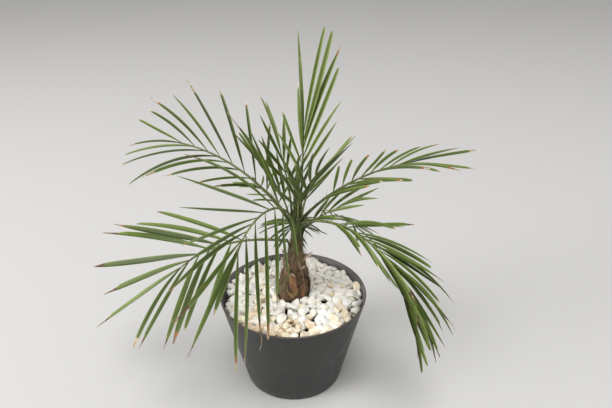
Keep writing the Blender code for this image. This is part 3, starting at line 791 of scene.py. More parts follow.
# Each frond's stalk goes on down the trunk as a channelled sheath that clasps the neck
def makeSheaths():
    shape = bmesh.new()
    share, least = sheath["footRise"]
    sunk, sunkReach = sheath["sunk"]
    onNeck, more = sheath["neckShare"]
    for frond in fronds.values():
        out, side = aroundTrunk(math.radians(frond["heading"]))
        high = frond["foot"] + sheath["overlap"]
        low = sheath["foot"] + share * (high - least)
        reach = trunkRadius(frond["foot"]) + ribRadius(frond, 0.0) + frondRule["ribStandOff"]

        def place(point):
            height = low + (high - low) * point.y
            radius = coreRadius(height)
            lean = max(1 - (high - height) / sheath["joinRise"], 0.0) ** sheath["joinCurve"]
            middle = radius + sheath["stand"] + (reach - radius - sheath["tuck"]) * lean
            sideways = point.x * sheath["halfWidth"] * readCurve(sheath["outline"], point.y)
            wrap = radius - math.sqrt(max(radius ** 2 - sideways ** 2, 0.0))
            deep = sunk * max(1 - point.y / sunkReach, 0.0)
            thick = point.z * sheath["halfThickness"] * (onNeck + more * lean)
            channel = sheath["channel"] * (1 - abs(point.x)) if point.z < 0 else 0.0
            off = middle - sheath["wrap"] * wrap * (1 - lean) - thick - channel - deep
            return trunkCentre(height) + out * off + side * sideways

        addCopy(shape, unitTube(*sheath["tube"]), place)
    finish = risingMaterial("stalkSheath", *sheath["finish"])
    addPiece("frond-sheaths", shape, 50, [finish], "palm_leaf")


spear = {
    "blades": 7,
    "low": 0.206,
    "high": 0.277,
    "shorter": 0.030,
    "closeness": 0.85,      # how far out the blades lie, as a share of the neck's radius
    "splay": 0.0022,
    "fold": 0.5,
    "halfWidth": 0.0026,
    "halfThickness": 0.0003,
    "tube": (4, 18),      # sides and stations
    "outline": ((0.0, 0.7), (0.3, 1.0), (0.7, 0.7), (0.9, 0.4), (1.0, 0.08)),
    "finish": ((0.050, 0.082, 0.013), (0.110, 0.150, 0.036), 300.0, 0.45, 0.4, 0.0004, (1, 1, 0.1)),
}


# The spear of unopened leaves: narrow folded blades pressed round the trunk's growing tip
def makeSpear():
    chance = random.Random(trunk["seed"] + 3)
    low = spear["low"]
    shape = bmesh.new()
    for number in range(spear["blades"]):
        out, side = aroundTrunk(math.radians(goldenAngle * number))
        high = spear["high"] - chance.uniform(0.0, spear["shorter"])
        splay = chance.uniform(0.0, spear["splay"])

        def place(point):
            height = low + (high - low) * point.y
            radius = coreRadius(height) * spear["closeness"] + splay * point.y ** 2
            sideways = point.x * spear["halfWidth"] * readCurve(spear["outline"], point.y)
            off = radius - spear["fold"] * abs(sideways) - point.z * spear["halfThickness"]
            return trunkCentre(height) + out * off + side * sideways

        addCopy(shape, unitTube(*spear["tube"]), place)
    addPiece("growing-spear", shape, 24, [mottledMaterial("spearGreen", spear["finish"])], "palm_leaf")


stubs = {
    # heading, height, length, half width and climb
    "places": (
        (-8, 0.165, 0.0150, 0.0048, 50), (186, 0.169, 0.0130, 0.0027, 50), (262, 0.146, 0.0095, 0.0036, 76),
        (228, 0.158, 0.0110, 0.0030, 72), (48, 0.152, 0.0125, 0.0036, 58), (96, 0.164, 0.0105, 0.0032, 62),
        (140, 0.150, 0.0120, 0.0038, 60), (318, 0.154, 0.0085, 0.0030, 74),
    ),
    "halfThickness": 0.0010,
    "taper": (1.10, 0.55),
    "tube": (12, 10),      # sides and stations
    "outline": ((0.0, 1.15), (0.3, 1.0), (0.7, 0.92), (1.0, 0.70)),
    "cup": 0.0016,
    "slant": 0.0016,
    "curl": 0.0020,
    "torn": 0.0018,
    "tornFrom": 0.85,      # share of the length
    "ridges": 0.0003,
    "finish": ((0.28, 0.195, 0.140), (0.66, 0.55, 0.44), 320.0, 0.85, 0.7, 0.0008, (1, 1, 0.3)),
}


# Dried stubs of cut fronds round the neck, channelled, with a torn end
def makeStubs():
    chance = random.Random(trunk["seed"] + 1)
    half = stubs["halfThickness"]
    shape = bmesh.new()
    for turn, height, length, halfWidth, climb in stubs["places"]:
        out, side = aroundTrunk(math.radians(turn))
        along = out * math.cos(math.radians(climb)) + upward * math.sin(math.radians(climb))
        across = along.cross(side)
        foot = trunkCentre(height) + out * (coreRadius(height) - 2 * half)
        slant = stray(chance, stubs["slant"])
        curl = chance.uniform(0.0, stubs["curl"])
        torn = stray(chance, 100)

        def place(point):
            width = halfWidth * readCurve(stubs["outline"], point.y)
            cup = point.x ** 2 * stubs["cup"] + curl * point.y ** 2
            end = 0.0
            if point.y > stubs["tornFrom"]:
                end = stubs["torn"] * noise.noise(Vector((point.x * 3, point.z * 3, torn))) + slant * point.x
            thick = half * tapered(stubs["taper"], point.y) * point.z
            ridge = stubs["ridges"] * noise.noise(Vector((point.x * 6, torn, point.z * 6)))
            return (foot + along * (length * point.y + end) + side * point.x * width
                    - across * (thick + cup + ridge))

        addCopy(shape, unitTube(*stubs["tube"]), place)
    addPiece("trunk-dry-stubs", shape, 50, [mottledMaterial("dryStub", stubs["finish"])], "palm_trunk")


hairs = {
    "count": 640,
    "lowest": 0.107,
    "rise": 0.088,
    "crowding": 1.3,      # gathers them towards the foot
    "length": (0.006, 0.018),
    "slant": 0.22,
    "bend": 0.0035,
    "stand": 0.0010,      # off the bark
    "lying": (0.0, 0.0022),      # how far most of them curl off it
    "loose": (0.003, 0.006),
    "lyingShare": 0.8,
    "arch": 2.6,      # radians of a wave from the foot to the end
    "thickness": (0.00011, 0.00026),
    "taper": (1.1, 1.0),
    "tube": (4, 7),      # sides and stations
    # few of them cross the bare leaf base: degrees to each side of it, up to which height, and the share
    # of them that is left out
    "bareAside": 30,
    "bareHeight": 0.138,
    "bareShare": 0.8,
    "finish": ((0.060, 0.036, 0.020), (0.27, 0.168, 0.088), 120.0, 0.85, 0.2, 0.0003),
}


# Loose fibres of the old leaf sheaths, lying up the trunk and curling off it
def makeHairs():
    chance = random.Random(trunk["seed"] + 2)
    shape = bmesh.new()
    for number in range(hairs["count"]):
        height = hairs["lowest"] + hairs["rise"] * chance.random() ** hairs["crowding"]
        heading = chance.uniform(0.0, math.tau)
        out, side = aroundTrunk(heading)
        length = chance.uniform(*hairs["length"])
        slant = chance.gauss(0.0, hairs["slant"])
        bend = stray(chance, hairs["bend"])
        lift = chance.uniform(*hairs["lying" if chance.random() < hairs["lyingShare"] else "loose"])
        thin = chance.uniform(*hairs["thickness"])
        aside = abs((math.degrees(heading) - leafBases["bare"][0][0] + 180) % 360 - 180)
        overBare = aside < hairs["bareAside"] and height < hairs["bareHeight"]
        if overBare and chance.random() < hairs["bareShare"]:
            continue

        def place(point):
            narrow = thin * tapered(hairs["taper"], point.y)
            sideways = slant * length * point.y + bend * point.y ** 2
            standing = hairs["stand"] + lift * math.sin(point.y * hairs["arch"]) + point.z * narrow
            middle = onTrunk(height + length * point.y, out, side, sideways, standing)
            return middle + side * point.x * narrow

        addCopy(shape, unitTube(*hairs["tube"]), place)
    addCurls(shape, chance)
    finishes = [mottledMaterial(name, piece["finish"])
                for name, piece in (("sheathFibre", hairs), ("darkCurl", curls))]
    addPiece("trunk-fibres", shape, None, finishes, "palm_trunk")


curls = {
    "count": 46,
    "toTheRight": 32,      # how many lie together, dark and low on the right
    "heading": (-10, 15),
    # of those on the right, and of the loose ones
    "height": ((0.124, 0.148), (0.112, 0.185)),
    "size": ((0.0018, 0.0040), (0.0012, 0.0030)),
    "thickness": ((0.00040, 0.00085), (0.00016, 0.00036)),
    "taper": (1.1, 0.8),
    "tube": (5, 12),      # sides and stations
    "sweep": (150, 300),      # degrees
    "drift": 0.004,
    "sunk": 0.0004,
    "finish": ((0.022, 0.014, 0.009), (0.075, 0.048, 0.028), 160.0, 0.8, 0.3, 0.0003),
}


# Thicker fibres that curl off the foot in loose rings
def addCurls(shape, chance):
    for number in range(curls["count"]):
        loose = number >= curls["toTheRight"]
        heading = math.radians(chance.uniform(0, 360) if loose else chance.gauss(*curls["heading"]))
        height = chance.uniform(*curls["height"][loose])
        out, side = aroundTrunk(heading)
        foot = trunkCentre(height) + out * (coreRadius(height) - curls["sunk"])
        size = chance.uniform(*curls["size"][loose])
        sweep = math.radians(chance.uniform(*curls["sweep"]))
        drift = side * stray(chance, curls["drift"])
        upOrDown = upward * chance.choice((-1, 1))
        thick = chance.uniform(*curls["thickness"][loose])

        def place(point):
            angle = sweep * point.y
            ahead = out * math.cos(angle) + upOrDown * math.sin(angle)
            inwards = out * math.sin(angle) - upOrDown * math.cos(angle)
            middle = (out * math.sin(angle) + upOrDown * (1 - math.cos(angle))) * size + drift * point.y
            narrow = thick * tapered(curls["taper"], point.y)
            return foot + middle + ahead.cross(inwards) * point.x * narrow + inwards * point.z * narrow

        addCopy(shape, unitTube(*curls["tube"]), place, int(not loose))


# Fronds: the same rule as the solids, and on two of them finer leaflets between the solid's own

# The leaflets on one side of a rib: how many, and where the first stands. Then three values each, for the
# first, the middle and the last one: angle to the rib, reach, lift out of the frond's plane, and sag as a
# share of the reach
def row(count, start, angle, reach, lift=(0, 0, 0), sag=(0, 0, 0)):
    return {"count": count, "start": start, "angle": angle, "reach": reach, "lift": lift, "sag": sag}


fronds = {
    "frond_upright": {
        "heading": 60, "foot": 0.224, "length": 0.095, "climb": 85, "fall": 86,
        "left": row(5, 0.50, (40, 10, 3), (0.055, 0.085, 0.11)),
        "right": row(6, 0.50, (34, 22, 9), (0.075, 0.12, 0.12)),
    },
    "frond_back_left": {
        "heading": 150, "foot": 0.214, "length": 0.17, "climb": 50, "fall": 5, "turn": 12,
        "left": row(8, 0.30, (60, 50, 30), (0.07, 0.12, 0.065), (5, 0, -5), (0.1, 0.38, 0.1)),
        "right": row(8, 0.25, (48, 22, 22), (0.085, 0.13, 0.09), (45, 36, 10)),
    },
    "frond_front": {
        "heading": 240, "foot": 0.222, "length": 0.125, "climb": 62, "fall": -50, "bend": 0.45,
        "left": row(7, 0.10, (75, 60, 20), (0.065, 0.105, 0.10), (-48, -72, -45), (0.3, 0.3, 0.2)),
        "right": row(9, 0.30, (72, 54, 8), (0.12, 0.08, 0.105), (50, -15, 0), (0.05, 0.05, 0.1)),
    },
    "frond_left": {
        "heading": 195, "foot": 0.192, "length": 0.135, "climb": 14, "fall": -42, "late": 1.5,
        "left": row(7, 0.40, (62, 58, 26), (0.09, 0.105, 0.09), (-20, -20, -10), (0.2, 0.2, 0.15)),
        "right": row(7, 0.40, (38, 36, 14), (0.11, 0.15, 0.135), (22, 17, 10), (0.05, 0.03, 0.05)),
    },
    "frond_right": {
        "heading": 22, "foot": 0.220, "length": 0.15, "climb": 46, "fall": 0, "late": 0.7,
        "left": row(9, 0.30, (52, 24, 3), (0.045, 0.07, 0.105), (10, 0, 0)),
        "right": row(8, 0.18, (30, 30, 18), (0.06, 0.07, 0.085), (-6, -4, -12), (0.05, 0.1, 0.1)),
    },
    "frond_front_right": {
        "heading": -35, "foot": 0.218, "length": 0.16, "climb": 28, "fall": -67, "bend": 0.40,
        "left": row(10, 0.30, (36, 16, 9), (0.075, 0.10, 0.085), (18, 10, 0), (0.2, 0.22, 0.1)),
        "right": row(9, 0.26, (28, 15, 9), (0.06, 0.085, 0.08), (10, 0, 0), (0.2, 0.15, 0.1)),
    },
    "frond_rising_right": {
        "heading": -50, "foot": 0.224, "length": 0.065, "climb": 80, "fall": 55,
        "left": row(5, 0.40, (58, 44, 18), (0.055, 0.07, 0.065), (10, 0, 0)),
        "right": row(4, 0.40, (40, 28, 12), (0.045, 0.055, 0.055), (20, 10, 0)),
    },
    "frond_low_right": {
        "heading": 5, "foot": 0.208, "length": 0.045, "climb": 42, "fall": 22,
        "left": row(4, 0.25, (44, 26, 8), (0.045, 0.055, 0.055)),
        "right": row(3, 0.35, (40, 25, 10), (0.04, 0.05, 0.05), sag=(0.1, 0.1, 0.1)),
    },
    "frond_rising_left": {
        "heading": 130, "foot": 0.222, "length": 0.075, "climb": 85, "fall": 65,
        "left": row(4, 0.50, (40, 25, 8), (0.05, 0.06, 0.07)),
        "right": row(4, 0.50, (40, 20, 8), (0.04, 0.05, 0.06)),
    },
    "frond_inner_left": {
        "heading": 168, "foot": 0.221, "length": 0.055, "climb": 80, "fall": 52,
        "left": row(4, 0.35, (34, 22, 10), (0.05, 0.065, 0.07)),
        "right": row(4, 0.35, (30, 18, 8), (0.06, 0.07, 0.06)),
    },
    "frond_inner_front": {
        "heading": -80, "foot": 0.223, "length": 0.045, "climb": 86, "fall": 66,
        "left": row(4, 0.30, (38, 24, 8), (0.045, 0.055, 0.055)),
        "right": row(4, 0.30, (38, 24, 8), (0.045, 0.055, 0.05)),
    },
    "frond_back": {
        "heading": 95, "foot": 0.192, "length": 0.12, "climb": 0, "fall": -50,
        "left": row(6, 0.35, (60, 50, 20), (0.05, 0.07, 0.06), sag=(0.1, 0.2, 0.2)),
        "right": row(6, 0.35, (60, 50, 20), (0.05, 0.07, 0.06), sag=(0.1, 0.2, 0.2)),
    },
    "frond_behind_left": {
        "heading": 122, "foot": 0.204, "length": 0.10, "climb": 35, "fall": -10,
        "left": row(5, 0.42, (58, 47, 22), (0.03, 0.04, 0.05), sag=(0.1, 0.1, 0.1)),
        "right": row(5, 0.38, (55, 45, 20), (0.04, 0.05, 0.05), (10, 10, 0), (0, 0, 0.1)),
    },
    "frond_behind_right": {
        "heading": 50, "foot": 0.202, "length": 0.12, "climb": 10, "fall": -50,
        "left": row(6, 0.40, (55, 45, 20), (0.04, 0.05, 0.06), sag=(0.1, 0.1, 0.1)),
        "right": row(6, 0.40, (55, 45, 20), (0.04, 0.05, 0.06), sag=(0.1, 0.1, 0.1)),
    },
}

frondRule = {
    "seed": 3,
    "ribSteps": 24,
    "ribStations": 9,
    "ribSides": 6,
    "ribRadiusLeast": 0.0011,
    "ribRadiusPerLength": 0.006,
    "ribTipShare": 0.42,
    "ribStandOff": 0.00045,
    "bladeStations": ((0.0, 0.34), (0.26, 1.0), (0.80, 0.84), (1.0, 0.10)),
    "bladeSides": 4,
    "halfWidthLeast": 0.0024,
    "halfWidthPerLength": 0.010,
    "halfThicknessLeast": 0.0005,
    "halfThicknessPerLength": 0.0055,
    "thinnest": 0.1,
    "thinning": 1.4,
    "steepest": 0.3,
    "light": Vector((-0.15, -0.55, 0.82)),      # leaflets turn their upper sides towards it
    "lightPull": 0.8,
    "lastLeaflet": 0.97,
    "angleJitter": 4.0,
    "liftJitter": 8.0,
    "lengthJitter": 0.06,
    "infillSeed": 8,
    "infillSpread": 16.0,      # how far a finer leaflet's lift strays, degrees
    "infillLength": (0.78, 0.98),
    "clearance": 0.0003,
    "sidestepMargin": 0.00035,
    "sidesteps": (
        (0, 0), (0, 6), (0, -6), (5, 0), (-5, 0), (0, 12), (0, -12), (5, 9),
        (-5, -9), (9, 0), (-9, 0), (0, 18), (0, -18), (9, 14), (-9, -14),
    ),
}


# Reads a row of three values: at the start, half way and at the end
def between(values, share):
    first, middle, last = values
    if share < 0.5:
        return first + (middle - first) * share * 2
    return middle + (last - middle) * (share - 0.5) * 2


def direction(heading, slope):
    flat = math.cos(slope)
    return Vector((math.cos(heading) * flat, math.sin(heading) * flat, math.sin(slope)))


def ribRadius(frond, share):
    footRadius = frondRule["ribRadiusLeast"] + frondRule["ribRadiusPerLength"] * frond["length"]
    return footRadius * (1 + (frondRule["ribTipShare"] - 1) * share)


def ribLine(frond):
    heading = math.radians(frond["heading"])
    turn = math.radians(frond.get("turn", 0))
    climb = math.radians(frond["climb"])
    fall = math.radians(frond["fall"])
    late = frond.get("late", 1.0)
    steps = frondRule["ribSteps"]
    foot = frond["foot"]
    standOff = trunkRadius(foot) + ribRadius(frond, 0.0) * math.sin(climb) + frondRule["ribStandOff"]
    point = trunkCentre(foot) + direction(heading, 0.0) * standOff
    line = []
    for step in range(steps + 1):
        share = step / steps
        slope = climb + (fall - climb) * share ** late
        line.append((point.copy(), direction(heading + turn * share, slope), heading + turn * share))
        middle = (step + 0.5) / steps
        slope = climb + (fall - climb) * middle ** late
        point += direction(heading + turn * middle, slope) * frond["length"] / steps
    return line


# Point, direction along the rib, direction out of the frond's plane, and to its left
def onRib(line, share):
    steps = frondRule["ribSteps"]
    place = min(max(share, 0.0), 1.0) * steps
    step = min(int(place), steps - 1)
    part = place - step
    (firstPoint, firstAlong, firstHeading), (point, along, heading) = line[step], line[step + 1]
    heading = firstHeading + (heading - firstHeading) * part
    along = (firstAlong * (1 - part) + along * part).normalized()
    levelLeft = Vector((-math.sin(heading), math.cos(heading), 0.0))
    normal = along.cross(levelLeft).normalized()
    left = normal.cross(along).normalized()
    return firstPoint * (1 - part) + point * part, along, normal, left


def leafletPlan(frond, line):
    chance = random.Random(frondRule["seed"])
    plan = []
    for sideName, sign in (("left", 1.0), ("right", -1.0)):
        side = frond[sideName]
        for number in range(side["count"]):
            share = number / (side["count"] - 1)
            place = side["start"] + (frondRule["lastLeaflet"] - side["start"]) * share
            plan.append({
                "place": place,
                "sign": sign,
                "angle": between(side["angle"], share) + stray(chance, frondRule["angleJitter"]),
                "lift": between(side["lift"], share) + stray(chance, frondRule["liftJitter"]),
                "length": between(side["reach"], share) * (1 + stray(chance, frondRule["lengthJitter"])),
                "sag": between(side["sag"], share),
                "root": onRib(line, place),
            })
    return plan


def leafletHalfWidth(length):
    return frondRule["halfWidthLeast"] + frondRule["halfWidthPerLength"] * length


def leafletAim(leaflet, extraAngle, extraLift):
    root, along, normal, left = leaflet["root"]
    angle = math.radians(leaflet["angle"] + extraAngle)
    lift = math.radians(leaflet["lift"] + extraLift)
    sideways = left * leaflet["sign"] * math.cos(lift) + normal * math.sin(lift)
    return along * math.cos(angle) + sideways * math.sin(angle)


# Centre, direction, width direction and upper side of a leaflet at a share of its length
def leafletAxes(leaflet, aim, place):
    root, along, normal, left = leaflet["root"]
    length = leaflet["length"]
    facing = (normal + frondRule["light"] * frondRule["lightPull"]).normalized()
    if facing.cross(aim).length < frondRule["steepest"]:
        facing = left
    drop = upward * (-leaflet["sag"] * length)
    centre = root + aim * length * place + drop * place ** 2
    tangent = (aim * length + drop * 2 * place).normalized()
    across = facing.cross(tangent).normalized()
    return centre, tangent, across, tangent.cross(across)


# The solid's own blade, as a tree of faces that shows what it touches
def plainBlade(leaflet, extraAngle, extraLift, margin):
    aim = leafletAim(leaflet, extraAngle, extraLift)
    length = leaflet["length"]
    halfWidth = leafletHalfWidth(length)
    halfThickness = frondRule["halfThicknessLeast"] + frondRule["halfThicknessPerLength"] * length
    sections = []
    for place, width in frondRule["bladeStations"]:
        centre, tangent, across, upper = leafletAxes(leaflet, aim, place)
        thickness = halfThickness * max(frondRule["thinnest"], min(1.0, width * frondRule["thinning"]))
        sections.append((centre, across * (halfWidth * width + margin), upper * (thickness + margin)))
    return sweptTree(sections, frondRule["bladeSides"])


# A tree of the faces of a tube through sections, each a centre and two half axes
def sweptTree(sections, sides):
    unit = unitTube(sides, len(sections))
    corners = []
    for vertex in unit.vertices:
        centre, across, upper = sections[round(vertex.co.y * (len(sections) - 1))]
        corners.append(centre + across * vertex.co.x + upper * vertex.co.z)
    return BVHTree.FromPolygons(corners, [tuple(polygon.vertices) for polygon in unit.polygons])


def nodeTree(node):
    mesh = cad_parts[node].data
    return BVHTree.FromPolygons([vertex.co for vertex in mesh.vertices],
                                [tuple(polygon.vertices) for polygon in mesh.polygons])


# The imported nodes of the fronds: name, frond's name and the stretch of its rib
def frondPieces():
    pieces = []
    for name, frond in fronds.items():
        bend = frond.get("bend")
        if bend is None:
            pieces.append((name, name, 0.0, 1.0))
            continue
        halfGap = frondRule["clearance"] / frond["length"]
        pieces.append((name + "_inner", name, 0.0, bend - halfGap))
        pieces.append((name + "_outer", name, bend + halfGap, 1.0))
    return pieces


def ribTree(frond, line, start, end):
    sections = []
    stations = frondRule["ribStations"]
    for station in range(stations):
        share = start + (end - start) * station / (stations - 1)
        centre, along, normal, left = onRib(line, share)
        radius = ribRadius(frond, share)
        sections.append((centre, left * radius, normal * radius))
    return sweptTree(sections, frondRule["ribSides"])


# Each frond's leaflets with their aim, turned aside or left out as in the solids
def placeLeaflets():
    solid = [nodeTree(node) for node in ("pot", "marble_chips", "trunk")]
    lines = {name: ribLine(frond) for name, frond in fronds.items()}
    pieces = frondPieces()
    placed = {}
    for piece, name, start, end in pieces:
        placed[piece] = [ribTree(fronds[name], lines[name], start, end)]
    leaflets = {name: [] for name in fronds}
    for piece, name, start, end in pieces:
        neighbours = list(solid)
        for other, trees in placed.items():
            if other != piece:
                neighbours.extend(trees)
        for leaflet in leafletPlan(fronds[name], lines[name]):
            if not start <= leaflet["place"] <= end:
                continue
            for extraAngle, extraLift in frondRule["sidesteps"]:
                trial = plainBlade(leaflet, extraAngle, extraLift, frondRule["sidestepMargin"])
                if not any(trial.overlap(tree) for tree in neighbours):
                    placed[piece].append(plainBlade(leaflet, extraAngle, extraLift, 0.0))
                    leaflet["aim"] = leafletAim(leaflet, extraAngle, extraLift)
                    leaflets[name].append(leaflet)
                    break
    chance = random.Random(frondRule["infillSeed"])
    for name, own in leaflets.items():
        if looksOf(name)["infill"]:
            own.extend(infillLeaflets(own, lines[name], chance, solid))
    return lines, leaflets


# Finer leaflets half way between two neighbours on one side of a rib
def infillLeaflets(own, line, chance, solid):
    added = []
    for first, second in zip(own, own[1:]):
        if first["sign"] != second["sign"] or second["place"] < first["place"]:
            continue
        leaflet = {name: (first[name] + second[name]) / 2
                   for name in ("place", "angle", "lift", "length", "sag")}
        leaflet["sign"] = first["sign"]
        leaflet["root"] = onRib(line, leaflet["place"])
        leaflet["angle"] += stray(chance, frondRule["angleJitter"])
        leaflet["lift"] += stray(chance, 1) * frondRule["infillSpread"]
        leaflet["length"] *= chance.uniform(*frondRule["infillLength"])
        leaflet["aim"] = leafletAim(leaflet, 0.0, 0.0)
        if not any(plainBlade(leaflet, 0.0, 0.0, 0.0).overlap(tree) for tree in solid):
            added.append(leaflet)
    return added


blade = {
    "sides": 4,
    "stations": 17,
    "bunching": 1.35,      # gathers the stations towards the tip
    # half width as a share of the widest, along the leaflet
    "strap": ((0.0, 0.22), (0.04, 0.28), (0.12, 0.56), (0.25, 0.85), (0.42, 1.0), (0.60, 0.98), (0.76, 0.89),
              (0.88, 0.76), (0.95, 0.62), (0.985, 0.46), (1.0, 0.20)),
    "lance": ((0.0, 0.24), (0.05, 0.32), (0.15, 0.66), (0.30, 0.95), (0.45, 1.0), (0.62, 0.92), (0.78, 0.68),
              (0.90, 0.40), (0.96, 0.22), (1.0, 0.05)),
    "fold": ((0.0, 60.0), (0.10, 46.0), (0.45, 36.0), (1.0, 24.0)),      # each half's lift, degrees
    "thickness": ((0.0, 0.00050), (0.08, 0.00032), (0.7, 0.00022), (1.0, 0.00010)),
    "twist": 24.0,
    "wave": 0.016,
    "bow": (-0.030, 0.040),      # how far a leaflet arches out of straight, as a share of its length
    "shrinkReach": 0.08,      # share of the length over which a dry end narrows
    "baseShare": 0.035,      # the pale cushion where a leaflet joins its rib
    "dryShare": (0.02, 0.11),      # of a leaflet's length
    "dryWidth": (0.55, 0.85),
    "witheredShare": (0.08, 0.20),
    "witheredWidth": (0.35, 0.60),
    "endShare": (0.35, 0.75),      # of the dry tip
    "wider": (0.85, 1.12),
    "seed": 17,
    # from dark to light; the half of a blade that turns from the light takes a darker one, as painted shade
    "greens": (
        (0.033, 0.056, 0.008),
        (0.052, 0.088, 0.010),
        (0.074, 0.121, 0.014),
        (0.108, 0.169, 0.023),
        (0.155, 0.224, 0.044),
        (0.215, 0.280, 0.082),
    ),
    "paintedShadeSteps": (0, 1, 1, 2, 2),      # how many steps darker the painted shade on the half turned from the light is
    "underside": (0.078, 0.118, 0.027),
    "pale": (0.24, 0.30, 0.09),
    "gloss": (0.44, 0.28),      # roughness and specular
    "bump": (0.25, 0.0002),
    "rust": (0.15, 0.080, 0.028),
    "rustFlecks": (130.0, 0.655, 0.70, 0.5),      # how fine, two levels of the noise, and how strong
    "blotches": 38.0,
    "blotchDarker": 0.74,
    "tips": {
        "straw": (0.50, 0.40, 0.24),
        "orange": (0.34, 0.16, 0.055),
        "bleached": (0.68, 0.62, 0.53),
        "withered": (0.130, 0.066, 0.032),
        "tan": (0.30, 0.21, 0.12),
    },
    "tipDarker": 0.55,
    "tipGrain": (240.0, 0.8, 0.5, 0.0004),
}

frays = {
    "count": (1, 2, 2, 3),
    "start": (0.1, 0.9),      # share of the dry tip, back from its end
    "beyond": (0.002, 0.007),      # how far a thread reaches past the leaflet's tip
    "curl": (0.002, 0.005),
    "thickness": (0.00016, 0.00030),
    "taper": (1.1, 0.7),
    "slack": 0.25,
    "arch": 2.8,      # radians of a wave from the foot to the end
    "tube": (4, 8),      # sides and stations
}

tipNumbers = {name: len(blade["greens"]) + 1 + number for number, name in enumerate(blade["tips"])}

# How the leaflets of a frond look, where leafLooks doesn't say otherwise
plainLooks = {
    "width": (1.05, 1.05),      # on the frond's left and right
    "strap": 0.3,      # share of blunt, strap-shaped ones
    "greens": (1, 2, 3, 2),
    "dry": 0.5,      # share of dry tips
    "dryLength": 1.0,
    # a dry tip's band of colour, and its end's
    "tips": (("orange", "straw"), ("withered", "tan"), ("orange", "tan")),
    "frays": 0.0,      # share of the dry tips that fray
    "bend": 1.0,
    "infill": False,      # whether finer leaflets stand between the solid's own
}
innerLooks = {"width": (0.90, 0.90), "dry": 0.3, "greens": (3, 4, 5, 2, 4),
              "tips": (("straw", "straw"), ("orange", "straw"))}
leafLooks = {
    "frond_upright": {"width": (0.80, 0.88), "greens": (5, 5, 5, 4),
                      "tips": (("straw", "bleached"), ("orange", "straw"))},
    "frond_back_left": {"width": (0.86, 0.74), "strap": 0.9, "dry": 1.0, "greens": (1, 3, 0, 4, 1),
                        "dryLength": 1.6, "frays": 0.3,
                        "tips": (("orange", "bleached"), ("straw", "bleached"), ("orange", "bleached"))},
    "frond_front": {"width": (0.76, 1.02), "dry": 0.8, "greens": (1, 2, 2, 0), "bend": 2.2, "frays": 0.8,
                    "tips": (("withered", "tan"), ("withered", "withered"), ("orange", "straw"))},
    "frond_left": {"width": (1.14, 1.38), "strap": 0.8, "dry": 0.9, "greens": (1, 3, 1, 3, 4), "frays": 0.3,
                   "tips": (("orange", "straw"), ("orange", "bleached"), ("orange", "tan"),
                            ("straw", "straw"), ("withered", "tan"))},
    "frond_right": {"width": (1.00, 1.00), "strap": 0.9, "dry": 1.0, "greens": (2, 3, 4, 4),
                    "dryLength": 1.7,
                    "tips": (("orange", "straw"), ("straw", "bleached"), ("orange", "bleached"))},
    "frond_front_right": {"width": (0.90, 0.90), "strap": 0.4, "dry": 0.75, "greens": (3, 4, 3, 2),
                          "infill": True, "bend": 1.6,
                          "tips": (("orange", "orange"), ("withered", "tan"), ("straw", "bleached"))},
    "frond_rising_right": {**innerLooks, "width": (1.25, 1.25), "greens": (4, 5, 4, 3)},
    "frond_low_right": {**innerLooks, "width": (1.30, 1.30), "greens": (4, 5, 4, 3)},
    "frond_rising_left": innerLooks,
    "frond_inner_left": innerLooks,
    "frond_inner_front": {**innerLooks, "width": (1.05, 1.05), "greens": (3, 4, 5, 3)},
    "frond_back": {"infill": True},
    "frond_behind_left": {**innerLooks, "width": (0.75, 0.75)},
    "frond_behind_right": {"width": (0.80, 0.80), "greens": (3, 4, 4), "bend": 1.6,
                           "tips": (("straw", "straw"), ("orange", "straw"))},
}


def looksOf(name):
    return {**plainLooks, **leafLooks[name]}


def darker(colour, share):
    return tuple(value * share for value in colour)


# The greens first, then the paler underside, then the dry tips
def leafMaterials():
    materials = []
    finishes = [("leafGreen%d" % (number + 1), green) for number, green in enumerate(blade["greens"])]
    for name, green in finishes + [("leafUnderside", blade["underside"])]:
        material, tree, shader, place = newMaterial(name, *blade["gloss"])
        blotches = useGroup(tree, "mottle", Vector=place["Object"], Scale=blade["blotches"], First=green,
                            Second=darker(green, blade["blotchDarker"]))
        scale, low, high, strength = blade["rustFlecks"]
        flecks = ramp(tree, noiseNode(tree, place["Object"], scale, 2.0), low, high)
        flecks = calculate(tree, "MULTIPLY", flecks, strength)
        colour = mixColours(tree, flecks, blotches["Colour"], blade["rust"])
        veins = useGroup(tree, "bladeVeins", UV=place["UV"], Colour=colour, Pale=blade["pale"])
        tree.links.new(veins["Colour"], shader["Base Color"])
        addBump(tree, shader, veins["Height"], *blade["bump"])
        materials.append(material)
    for name, colour in blade["tips"].items():
        finish = (colour, darker(colour, blade["tipDarker"]), *blade["tipGrain"])
        materials.append(mottledMaterial("leafTip" + name.title(), finish))
    return materials


rib = {
    "sides": 12,
    "stations": 44,
    "footSwell": 0.9,
    "swellReach": 0.10,
    "channel": 0.35,
    "flatter": 0.92,
    "gloss": (0.45, 0.4),
    "bump": (0.3, 0.0004),
    "green": (0.074, 0.095, 0.022),
    "pale": (0.170, 0.190, 0.066),
    "blotches": 70.0,
    "footDark": (0.040, 0.056, 0.012),
    "footBand": (0.02, 0.16, 0.75),      # share of the rib where it ends, and how strong it is
    "spineSpacing": 0.0085,
    "spineLength": (0.005, 0.013),
    "spineThickness": 0.00045,
    "spineTaper": (1.05, 1.0),
    "spineTube": (4, 5),      # sides and stations
    "spineStray": 0.01,      # share of the rib
    "spineAim": (0.75, 0.6, 0.5),      # along the rib, to its side and, at the most, out of the plane
}


